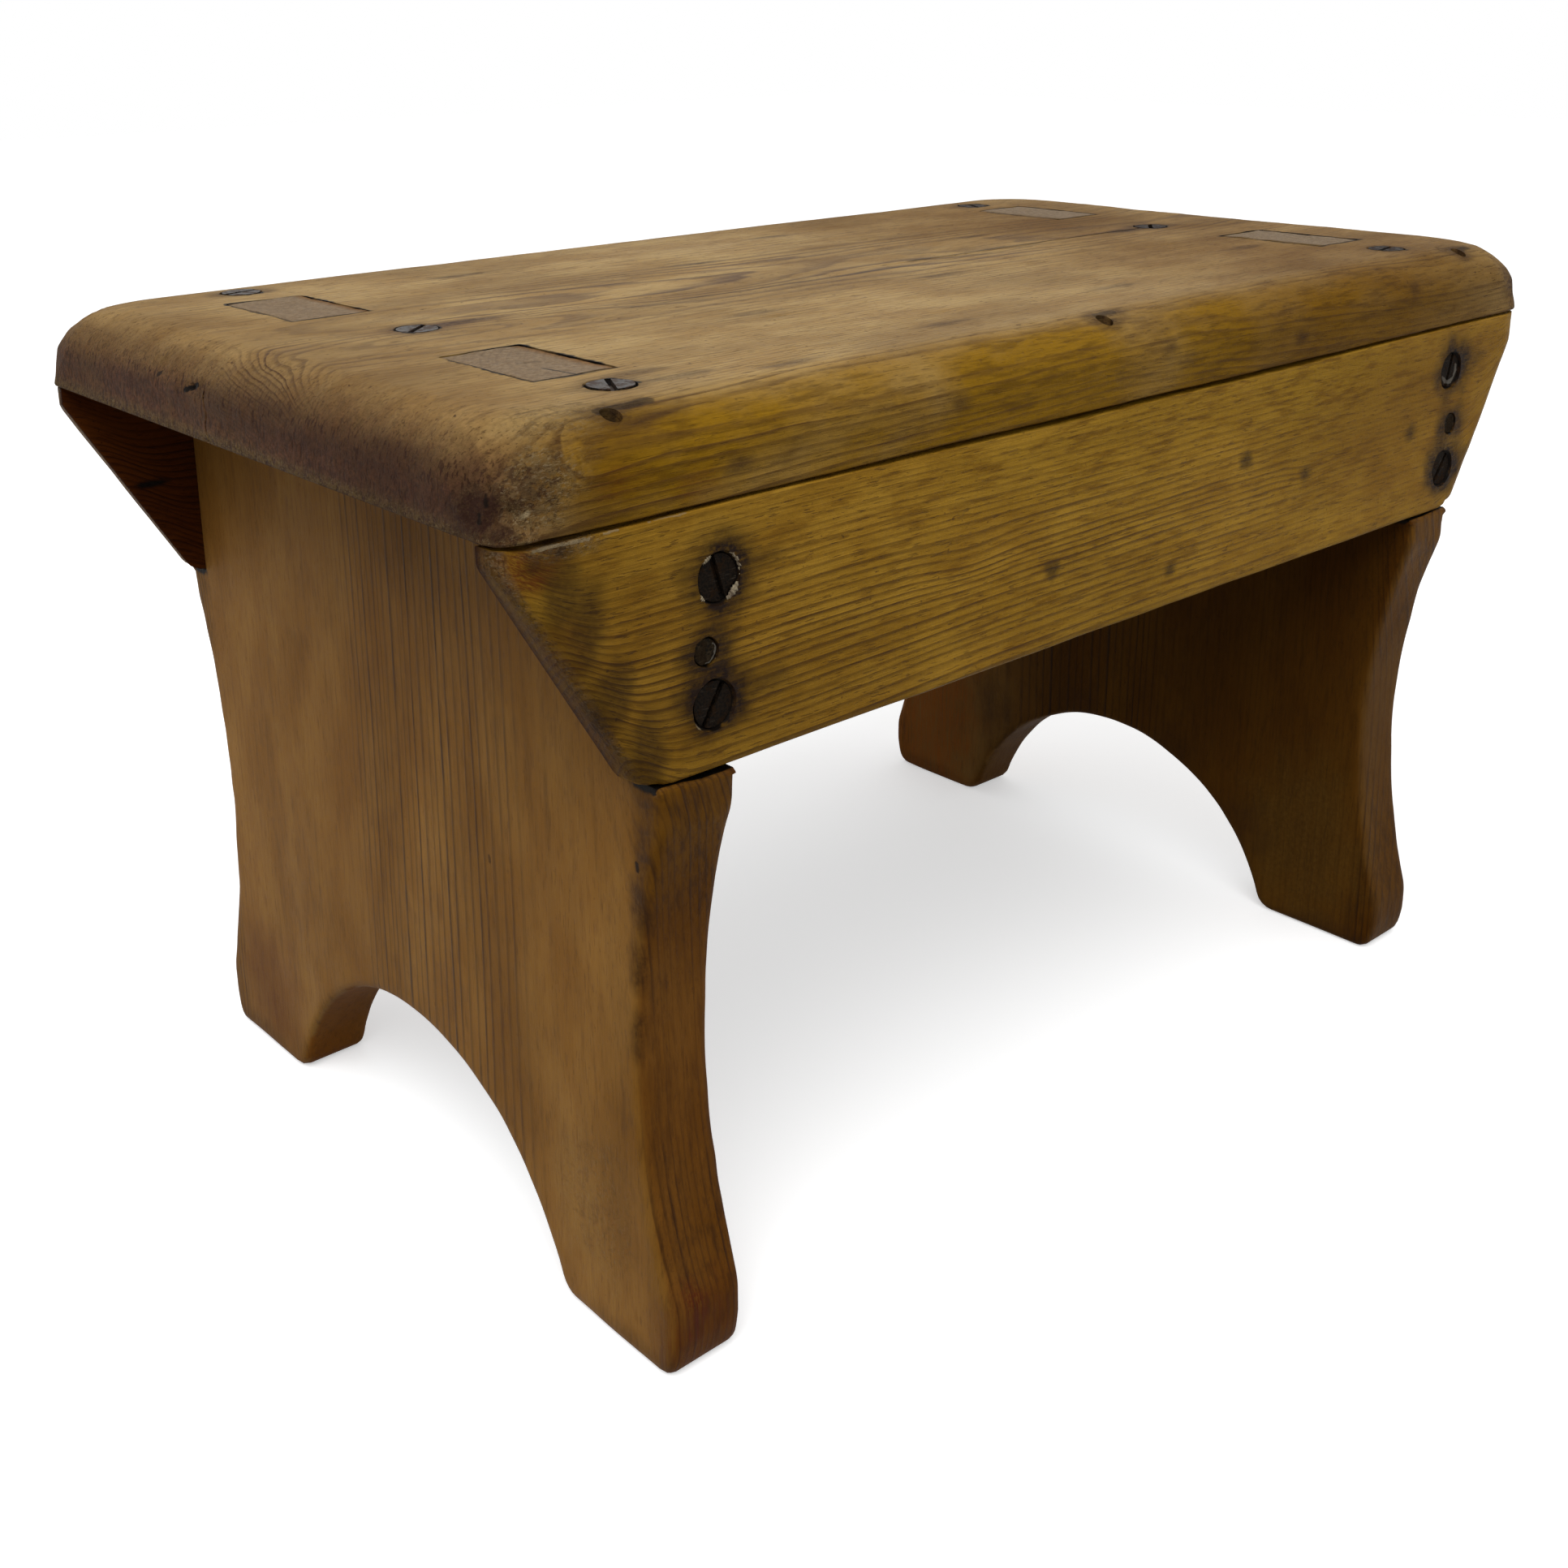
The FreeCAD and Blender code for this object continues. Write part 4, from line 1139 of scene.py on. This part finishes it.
ironLooks = {
    "seatScrewSteel": dict(
        seed=1, dark=(27, 22, 18), light=(70, 60, 49), rust=(58, 39, 28), rustFrom=0.47, rustAmount=0.8,
        scratch=(180, 172, 162), scratchAmount=0.35, metal=0.75, rough=0.3, bump=0.6, shine=0.15, rims=[]),
    "dullScrewSteel": dict(
        seed=5, dark=(18, 14, 11), light=(56, 47, 40), rust=(44, 29, 21), rustFrom=0.46, rustAmount=0.75,
        scratch=(120, 112, 102), scratchAmount=0.3, metal=0.3, rough=0.45, bump=0.8, shine=0.06, rims=[]),
    "apronScrewIron": dict(
        seed=2, dark=(7, 5, 3), light=(32, 24, 17), rust=(40, 27, 16), rustFrom=0.5, rustAmount=0.75,
        scratch=(96, 86, 74), scratchAmount=0.3, metal=0.1, rough=0.55, bump=1.0, shine=0.04,
        rims=arc(*screwPlaces["apron"][2][:2], 3.3, -150, 170, 0.7, 0.6)),
    "nailIron": dict(
        seed=3, dark=(10, 7, 4), light=(56, 46, 32), rust=(36, 26, 15), rustFrom=0.44, rustAmount=0.7,
        scratch=(104, 92, 72), scratchAmount=0.2, metal=0.05, rough=0.6, bump=1.0, shine=0.04,
        rims=arc(*nailPlaces["apron"][0], 2.35, -90, 130, 0.25, 0.6)),
    "edgeNailIron": dict(
        seed=4, dark=(54, 43, 26), light=(88, 73, 48), rust=(68, 54, 36), rustFrom=0.5, rustAmount=0.5,
        scratch=(96, 86, 66), scratchAmount=0.2, metal=0.0, rough=0.65, bump=0.9, shine=0.05, rims=[]),
}


def fillerMaterial():
    box = Paintbox("driedFiller")
    where, facing = box.place()
    grain = box.noise(where, 0.5, 4.0, 0.7, 3)
    patch = box.noise(where, 1.9, 2.0, 0.5, 4)
    box.colour = box.mix(box.step(grain, 0.3, 0.7), paint(96, 82, 62), paint(158, 144, 116))
    box.coat(box.step(patch, 0.52, 0.72), paint(74, 56, 40))
    box.set({"Base Color": box.colour, "Roughness": box.timesPlus(grain, 0.2, 0.7)})
    box.bump(grain, 0.4, 0.3)
    return box.material


# Stains, painted shade, wear and colour of each board. A group of spots is centres, reach along X, Y and Z,
# strength.
def sided(side, *groups):
    # groups given for the side at +X and +Y (1), turned round for the other one (-1)
    return [([(side * x, side * y, z) for x, y, z in centres], reach, strength)
            for centres, reach, strength in groups]


def holeDark(points, places, radius, flat):
    # inside a hole the wood is black; flat names the two axes of the face
    value = np.zeros(len(points))
    for place in places:
        offset = points - np.array(place)
        distance = np.linalg.norm(offset[:, flat], axis=1) + 0.25 * softNoise(points, 1.3, 295)
        near = np.abs(offset[:, 3 - sum(flat)]) < 12
        value = np.maximum(value, (1 - smooth(distance, radius - 0.1, radius + 0.45)) * near)
    return value


seatStains = [
    ([(-114, 2.4, 200), (114, -2.4, 200)], (14, 3, 5), 0.7),
    ([(-117, -76, 200), (-121, -68, 200), (-136, -90, 198)], (10, 2.4, 4), 0.5),
    ([(-93, -81, 199), (-40, -72, 200), (25, -66, 200), (70, 20, 200), (-20, 35, 200), (-75, 62, 200),
      (104, -48, 200), (30, 62, 200), (-60, -34, 200), (10, -24, 200)], (10, 2.0, 4), 0.5),
    ([(-169, -86, 186)], (4, 9, 6), 0.95), ([(-167.5, -92, 183)], (3, 4, 2.5), 0.8),
    ([(-170, -60, 184.5)], (3, 34, 3), 0.35),
    ([(8, -93.5, 191), (60, -94.5, 187), (-60, -94, 189), (112, -93, 192), (-118, -94, 187)],
     (3.5, 3, 2.2), 0.55),
]
seatRed = [([(-146, -93, 188)], (10, 3, 4), 0.5), ([(-128, -94, 185)], (6, 3, 3), 0.35),
           ([(-160, -60, 190)], (5, 10, 4), 0.3), ([(-120, 2, 200)], (20, 5, 4), 0.3)]
seatWear = [([(-161, -92, 190)], (12, 5, 8), 0.9), ([(-163.6, -94.5, 185.4)], (3.4, 3, 1.6), 1.0),
            ([(-169, -86, 186)], (3, 7, 5), 0.7), ([(-150, -84, 198)], (12, 8, 5), 0.45)]


def seatTones(piece, openness, split):
    points, facing = readPoints(piece)
    x, y, z = points.T
    ax, ay = np.abs(x), np.abs(y)
    screws = both([(sx, sy, 199.9) for sx, sy, turn in screwPlaces["seat"]])
    nails = both([(nx, ny, 198) for nx, ny in nailPlaces["edge"]])
    smears = both([(nx + 2.6, ny + 2, nz + 1) for nx, ny, nz in nails[:3]])
    stainAndShade = patches(points, 301, (screws, (9, 6.4, 6), 0.5), (nails, (5, 3.4, 4), 0.6),
                    (smears, (8.5, 2.6, 5), 0.55), *seatStains)
    # a dark band along the end nosing, strongest in front of the split
    crest = 191.5 + 3.2 * (1 - smooth(y, -10, 50))
    band = smooth(z, 184, 188) * (1 - smooth(z, crest - 2.5, crest + 1.5)) * smooth(ax, 155, 160)
    band *= waves(points, 0.2 + 0.24 * (1 - smooth(y, 0, 26)), (0.3, (6, 9, 4), 302))
    # painted shade: the seat darker towards its left end and over its right half, unevenly
    seatShade = 0.4 * smooth(-x, 122, 162) + 0.75 * smooth(x, 0, 100) * (1 - 0.3 * smooth(x, 110, 160))
    seatShade *= waves(points, 1, (0.4, (26, 20, 20), 309))
    # golden varnish is left on the front and back nosing, lilac bare wood shows on the ends
    front = smooth(-y, 82.5, 91.5) * (1 - 0.75 * smooth(waves(points, ax, (3, 5, 311)), 138, 166))
    back = smooth(y, 81, 89) * 0.8 * (1 - smooth(ax, 150, 168))
    ends = smooth(ax, 157, 165) * (1 - 0.85 * smooth(z, 188, 197)) * (1 - 0.5 * smooth(ay, 84, 94))
    lowArris = (1 - smooth(z, 182.2, 184)) * smooth(z, 180.9, 181.3) * smooth(ax, 160, 166)
    across = np.maximum(np.abs(ax - tenonX) - 9.4, np.abs(ay - tenonY) - 15.9)
    rim = np.where(z < 199.5, 0.9, waves(points, 0.55, (0.4, 5, 310)))
    sockets = (1 - smooth(across, 0.35, 0.8)) * (z > 181.5) * rim
    # the year rings show most in a flame along the middle and on the nosing
    flame = smooth(y, -34, -20) * (1 - smooth(y + 34 * smooth(-x, 80, 125), 30, 50))
    flame = flame * (1 - 0.4 * smooth(x, -20, 120))
    sides = np.maximum(smooth(ay, 80, 88) * (0.65 + 0.3 * smooth(-x, 20, 90)),
                       smooth(ax, 140, 158) * flame * (0.9 - 0.6 * smooth(ax, 162, 169)))
    faint = waves(points, 0.42, (0.15, 30, 307)) - 0.25 * smooth(ax, 150, 165)
    holes = np.maximum(holeDark(points, screws, 4.75, [0, 1]), holeDark(points, nails, 1.6, [0, 1]))
    paintAll(piece, {
        "stainAndShade": np.maximum(stainAndShade, band),
        "golden": np.maximum(front * (1 - 0.5 * smooth(x, 30, 160)), back) * waves(points, 0.9, (0.3, 24, 303)),
        "lilac": ends * waves(points, 0.9, (0.25, (9, 14, 6), 304)),
        "red": patches(points, 305, *seatRed),
        "wear": np.maximum(patches(points, 306, *seatWear), lowArris),
        "figure": np.max([faint, flame, sides], axis=0),
        "crack": np.max([openness, split, sockets, holes], axis=0),
        # painted shade: the whole underside, and the seat's darker parts above
        "paintedShade": np.maximum(1 - smooth(z, 181.2, 181.8), seatShade),
    })


def apronTones(piece, side):
    points, facing = readPoints(piece)
    x, y, z = points.T
    ax, ay = np.abs(x), np.abs(y)
    outer = smooth(ay, 87.2, 88.5)
    holes, nails = ([(-side * u, side * halfWidth, v) for u, v, *turn in places["apron"]]
                    for places in (screwPlaces, nailPlaces))
    groups = [([(px - 0.8 * side, py, pz + 0.8) for px, py, pz in holes], (10.5, 6, 9), 0.95),
              (nails, (8, 5, 6), 0.85),
              ([(px - 8 * side, py, pz + 1.5) for px, py, pz in holes], (9, 4, 3.4), 0.5)]
    fade, varnish, shade = 1 - 0.45 * smooth(-x, -20, -140), 1 - 0.6 * smooth(x, 50, 150), 0
    if side < 0:
        groups += [([(66, -95, 152), (115, -95, 154.5), (-163, -93, 177), (-30, -95, 148), (12, -95, 139),
                     (40, -95, 160)], (2.6, 3, 2.2), 0.7),
                   ([(-153, -95, 164), (-148, -95, 150), (-141, -95, 139), (-158, -95, 172)], (5, 5, 9), 0.6)]
        fade = 1 - 0.7 * smooth(x, -10, 120)
        # painted shade: the front apron darker towards its left end, more so low down, and towards its right
        # end
        shade = smooth(-x, 85, 135) * (0.12 + 0.16 * (1 - smooth(z, 140, 165))) + 0.14 * smooth(x, 60, 150)
    else:
        groups += [([(-80, 95, 150), (30, 95, 160), (96, 95, 141), (155, 92, 160)], (5, 4, 4), 0.5)]
    tips = smooth(np.abs(facing[:, 0]), 0.62, 0.82) * smooth(ax, 140, 146)
    arris = tips * smooth(np.abs(facing[:, 1]), 0.05, 0.5) * outer * waves(points, 0.75, (0.5, 1.6, 333))
    broad = 1 - smooth(np.abs(x - 40), 60, 150)
    golden = waves(points, 0.3 * broad, (0.3, (40, 40, 16), 323)) + 0.3 * smooth(z, 158, 174)
    rusty = sided(side, ([(163, 94, 177)], (8, 4, 5), 0.85), ([(158, 94, 160)], (5, 4, 8), 0.3),
                  ([(-120, 95, 160)], (56, 6, 30), 0.2))
    topWear = sided(side, ([(158, 95, 179.4)], (9, 3, 1.6), 0.9))
    paintAll(piece, {
        "stainAndShade": patches(points, 321 - side, *groups) * outer,
        "lilac": tips * waves(points, 0.4, (0.4, 2.2, 331)),
        "golden": golden * outer * varnish,
        "red": patches(points, 325, *rusty),
        "wear": np.maximum(patches(points, 326, *topWear), arris),
        "figure": waves(points, (0.5 + 0.5 * (1 - smooth(z, 160, 171))) * fade, (0.1, 18, 327)),
        "crack": np.max([innerCracks(points, side), holeDark(points, holes, 4.75, [0, 2]) * outer,
                         holeDark(points, nails, 2.6, [0, 2]) * outer], axis=0),
        # painted shade on the back face and on the front apron's ends
        "paintedShade": np.maximum(1 - outer, shade),
    })


def innerCracks(points, side):
    # two level drying cracks on the hidden face
    x, y, z = points.T
    hidden = 1 - smooth(np.abs(y), 87.1, 87.6)
    value = np.zeros(len(points))
    for start, height in ((-1, 168), (1, 156)):
        line = height + 1.2 * softNoise(np.column_stack([x, x * 0, x * 0]), 22, 328 + start) + 0.02 * x
        crack = hidden * (1 - smooth(np.abs(z - line), 0.1, 0.9)) * smooth(-x * side * start, 20, 60)
        value = np.maximum(value, crack)
    return value * 0.8


legStains = [
    ([(134.2, 86.6, 80), (134, 86.4, 62), (134, 88, 44), (133.6, 91, 29)], (3, 5, 12), 0.3),
    ([(136, 91, 125), (130, 93, 126), (122, 93, 127)], (5, 5, 5), 0.36),
    ([(137.6, 89, 116), (137.6, 87.6, 104), (137.6, 86.4, 90), (137.6, 86, 76)], (2.2, 3, 7), 0.6),
    ([(132.5, 94, 14), (131, 93, 22)], (3, 3, 6), 0.3),
    ([(138.5, -80, 2), (138.5, 80, 2), (120, -80, 2), (120, 80, 2)], (14, 16, 4), 0.3),
    ([(138.5, y0, 176) for y0 in (-60, -20, 20, 60)], (3, 26, 9), 0.3),
]
legRed = [([(132.6, 94, 14)], (3.4, 5, 8), 1.0), ([(130, 92, 8)], (12, 8, 14), 0.45),
          ([(138.5, -70, 20)], (4, 18, 18), 0.4)]


def legTones(piece, side):
    points, facing = readPoints(piece)
    x, y, z = points.T
    ax, ay = np.abs(x), np.abs(y)
    groups, red = sided(side, *legStains), sided(side, *legRed)
    if side > 0:
        # painted light: the back of the right leg's inner face made lighter and redder
        red += [([(120, 82, 40)], (14, 26, 90), 1.0)]
        # painted shade round the inside of the arch, laid into the stain-and-shade layer
        groups += [([(129, -52, 26), (129, -24, 42), (129, 14, 44), (129, 48, 32)], (14, 12, 12), 0.45)]
    # the inner face paler and greyer low down near one foot
    greyerFoot = patches(points, 349, *sided(side, ([(120, -70, 26)], (6, 22, 30), 0.3)))
    worn = patches(points, 346, *sided(side, ([(138, 70, 30)], (4, 14, 20), 0.25)))
    band = smooth(side * y, -20, -12) * (1 - smooth(side * y, 38, 56))
    rims = np.maximum(smooth(ax, 138.2, 138.45), smooth(ay, 60.7, 60.95)) * (z > 199.2) * 0.3
    # painted shade: the inner face, on the right leg fading out towards the back, the cut faces of the arch and
    # the lower front and back edges, which also get some in the stain-and-shade layer
    inner = 1 - smooth(ax, 120.4, 121.4)
    shaded = 0.15 + 0.85 * smooth(-y, -75, -10) if side > 0 else 1
    arch = (ay < 62) * (z < 46) * (np.abs(facing[:, 0]) < 0.5)
    edgeShade = smooth(ay, 82, 86) * (np.abs(facing[:, 0]) < 0.6) * (1 - smooth(z, 92, 122)) * 0.5
    shoulder = smooth(z, 128.4, 128.8) * (1 - smooth(z, 130, 131)) * smooth(ay, 86, 87.5) * (ay < 94)
    figure = np.max([waves(points, 0.14, (0.1, (12, 12, 60), 347)), band, smooth(ay, 84, 89) * 0.85], axis=0)
    paintAll(piece, {
        "stainAndShade": np.maximum(patches(points, 341 - side, *groups), edgeShade * 0.4),
        "golden": waves(points, 0.2, (0.25, (18, 18, 40), 343 - side)) + 0.6 * smooth(ay, 84, 91),
        "lilac": np.maximum(smooth(z, 198, 199.5) * 0.9, greyerFoot),
        "red": patches(points, 345, *red),
        "wear": worn,
        "figure": figure * (1 - 0.75 * smooth(z, 198, 199)),
        "crack": np.maximum(shoulder * (np.abs(facing[:, 1]) < 0.6), rims),
        "paintedShade": np.max([inner * shaded, arch * 0.8, edgeShade], axis=0),
    })


# crumbs of dried filler round the upper left screw: start, sweep, half width, radius
fillerCrumbs = [(-66, 46, 0.85, 4.75), (-12, 70, 0.3, 5.15), (112, 26, 0.5, 4.9), (205, 22, 0.35, 5.1)]


def makeFiller():
    x, z, turn = screwPlaces["apron"][0]
    shell, steps, ribs = Shell(), 16, 8
    for start, sweep, width, middle in fillerCrumbs:
        rings = []
        for k in range(steps + 1):
            share = k / steps
            angle = math.radians(start + sweep * share)
            swell = math.sin(math.pi * min(max(share, 0.06), 0.94)) ** 0.5
            ring = []
            for j in range(ribs):
                about = math.tau * j / ribs
                radius = middle + width * swell * math.cos(about) + 0.12 * math.sin(k * 2.3 + start)
                depth = 0.42 + 0.34 * swell * math.sin(about) + 0.1 * math.sin(k * 1.7)
                ring.append((x + radius * math.cos(angle), depth - halfWidth, z + radius * math.sin(angle)))
            rings.append(ring)
        first = shell.add(rings[0])
        shell.faces += [tuple(first), tuple(shell.chain(first, rings[1:]))]
    piece = shell.make("fillerCrumbs")
    points, facing = readPoints(piece)
    writePoints(piece, points + facing * (0.07 * softNoise(points, 1.0, 411))[:, None])
    finishPiece(piece, "screw_filler", "old_filler", 50, fillerMaterial())


# making the stool
woods = {name: woodMaterial(name, look) for name, look in woodLooks.items()}
irons = {name: ironMaterial(name, look) for name, look in ironLooks.items()}
print("materials made")

seatPiece, crack = makeSeat()
openness, split = wearSeat(seatPiece, crack)
seatTones(seatPiece, openness, split)
finishPiece(seatPiece, "seat_board", "seat_pine", material=woods["seatPine"])
print("seat board made,", len(seatPiece.data.polygons), "faces")

for make, tone, side, node, slot, wood in (
        (makeLeg, legTones, -1, "left_leg", "leg_pine", "leftLegPine"),
        (makeLeg, legTones, 1, "right_leg", "leg_pine", "rightLegPine"),
        (makeApron, apronTones, -1, "front_apron", "apron_pine", "frontApronPine"),
        (makeApron, apronTones, 1, "back_apron", "apron_pine", "backApronPine")):
    piece = make(side)
    tone(piece, side)
    finishPiece(piece, node, slot, material=woods[wood])
    print(node, "made,", len(piece.data.polygons), "faces")

upright = Matrix.Identity(3)
facingFront = Matrix.Rotation(math.radians(90), 3, "X")
roundAgain = Matrix.Rotation(math.radians(180), 3, "Z")
fastening = {"seatLength": 38, "apronLength": 30, "plainShare": 0.34, "seatHead": 199.85, "edgeHead": 194.85,
             "apronHead": 0.8, "apronNailHead": 0.5, "edgeSunk": 0.28}


def followNosing(piece):
    # the nail heads in the nosing were filed down to its slope
    points, facing = readPoints(piece)
    level = np.interp(halfWidth - np.abs(points[:, 1]), noseInset, noseHeight) - fastening["edgeSunk"]
    points[:, 2] += smooth(points[:, 2], 193.4, 194.5) * (level - fastening["edgeHead"])
    writePoints(piece, points)


def opposite(heads):
    return [((-x, -y, z), roundAgain @ lean, turn) for (x, y, z), lean, turn in heads]


def onFront(places, sunk):
    return [((x, sunk - halfWidth, z), facingFront, turn) for x, z, turn in places]


seatHeads = [((x, y, fastening["seatHead"]), upright, turn) for x, y, turn in screwPlaces["seat"]]
edgeHeads = [((x, y, fastening["edgeHead"]), upright, 0) for x, y in nailPlaces["edge"]]
apronHeads = onFront(screwPlaces["apron"], fastening["apronHead"])
apronNails = onFront([(x, z, 0) for x, z in nailPlaces["apron"]], fastening["apronNailHead"])
apronRows = [("front", "Left", apronHeads[:2], apronNails[:1]),
             ("front", "Right", apronHeads[2:], apronNails[1:]),
             ("back", "Left", opposite(apronHeads[2:]), opposite(apronNails[1:])),
             ("back", "Right", opposite(apronHeads[:2]), opposite(apronNails[:1]))]
long, short, share = fastening["seatLength"], fastening["apronLength"], fastening["plainShare"]
rows = [("seatScrewsLeft", "left_seat_screws", "worn_screw_steel", seatHeads, long, "seatScrewSteel"),
        ("seatScrewsRight", "right_seat_screws", "worn_screw_steel", opposite(seatHeads), long,
         "dullScrewSteel")]
for face, hand, heads, nails in apronRows:
    node = f"{face}_{hand.lower()}_apron_screws"
    rows.append((f"{face}Screws{hand}", node, "dark_screw_iron", heads, short, "apronScrewIron"))
for number, (name, node, slot, heads, length, metal) in enumerate(rows):
    makeFasteners(name, node, slot, heads, screwSizes, length, length * share, irons[metal], number)
for number, (face, hand, heads, nails) in enumerate(apronRows, 20):
    node = f"{face}_{hand.lower()}_apron_nail"
    makeFasteners(f"{face}Nail{hand}", node, "nail_iron", nails, apronNailSizes, short, short,
                  irons["nailIron"], number)
for number, (name, node, heads) in enumerate((("seatNailsFront", "front_seat_nails", edgeHeads),
                                              ("seatNailsBack", "back_seat_nails", opposite(edgeHeads))), 24):
    piece = makeFasteners(name, node, "nail_iron", heads, edgeNailSizes, long, long,
                          irons["edgeNailIron"], number)
    followNosing(piece)
makeFiller()
print("screws, nails and filler made")

# floor, light and camera
studio = {
    "floorSize": 7000, "floorSeen": (250, 250, 250), "floorBounce": 0.08, "floorGlow": 0.45,
    "skySeen": 1.0, "skyLight": 0.62,
    "lampSize": 1500, "lampPlace": (-950, -800, 1700), "lampAim": (0, 0, 120), "lampPower": 24,
    "cameraPlace": (-325.94, -333.26, 266.67), "azimuth": -40.875, "elevation": 16.64, "roll": -0.697,
    "lens": 42.11, "shiftX": 0.03085, "shiftY": -0.15347,
}


def seenRay(bench):
    # 1 for rays that show the backdrop, straight or in a reflection
    path = bench.node("ShaderNodeLightPath").outputs
    seen = path["Is Camera Ray"]
    for other in ("Is Glossy Ray", "Is Transmission Ray"):
        seen = bench.calc("MAXIMUM", seen, path[other])
    return seen


def makeFloor():
    mesh = bpy.data.meshes.new("floor")
    build = bmesh.new()
    bmesh.ops.create_grid(build, x_segments=24, y_segments=24, size=studio["floorSize"] / 2 * metre)
    build.to_mesh(mesh)
    build.free()
    box = Paintbox("paleFloor")
    seen, bounce = seenRay(box), studio["floorBounce"]
    colour = box.mix(seen, (bounce, bounce, bounce, 1), paint(*studio["floorSeen"]))
    diffuse = box.node("ShaderNodeBsdfDiffuse", {"Color": colour})
    glow = box.node("ShaderNodeEmission", {"Strength": box.times(seen, studio["floorGlow"])})
    added = box.node("ShaderNodeAddShader", [diffuse.outputs[0], glow.outputs[0]])
    box.plug(added.outputs[0], box.tree.nodes["Material Output"].inputs["Surface"])
    box.tree.nodes.remove(box.shader)
    mesh.materials.append(box.material)
    floor = linked("floor", mesh)


def makeSky():
    world = bpy.data.worlds.new("studioSky")
    bpy.context.scene.world = world
    world.use_nodes = True
    bench, sky = Bench(world.node_tree), world.node_tree.nodes["Background"]
    values = {"Value": seenRay(bench), "To Min": studio["skyLight"], "To Max": studio["skySeen"]}
    bench.plug((1, 1, 1, 1), sky.inputs["Color"])
    bench.plug(bench.node("ShaderNodeMapRange", values).outputs[0], sky.inputs["Strength"])


def makeLamp():
    lamp = bpy.data.lights.new("softLamp", "AREA")
    lamp.shape = "DISK"
    lamp.size = studio["lampSize"] * metre
    lamp.energy = studio["lampPower"]
    holder = linked("softLamp", lamp)
    holder.location = Vector(studio["lampPlace"]) * metre
    aim = Vector(studio["lampAim"]) * metre - holder.location
    holder.rotation_euler = aim.to_track_quat("-Z", "Y").to_euler()


def makeCamera():
    camera = bpy.data.cameras.new("viewpoint")
    camera.sensor_width = 36
    camera.lens = studio["lens"]
    camera.shift_x = studio["shiftX"]
    camera.shift_y = studio["shiftY"]
    camera.clip_start = 0.01
    a, e, r = (math.radians(studio[key]) for key in ("azimuth", "elevation", "roll"))
    back = Vector((math.sin(a) * math.cos(e), -math.cos(a) * math.cos(e), math.sin(e)))
    level = Vector((math.cos(a), math.sin(a), 0))
    right = level * math.cos(r) + back.cross(level) * math.sin(r)
    turned = Matrix((right, back.cross(right), back)).transposed().to_4x4()
    holder = linked("viewpoint", camera)
    holder.matrix_world = Matrix.Translation(Vector(studio["cameraPlace"]) * metre) @ turned
    bpy.context.scene.camera = holder


makeFloor()
makeSky()
makeLamp()
makeCamera()
bpy.context.scene.view_settings.view_transform = "Standard"
print("floor, light and camera made")
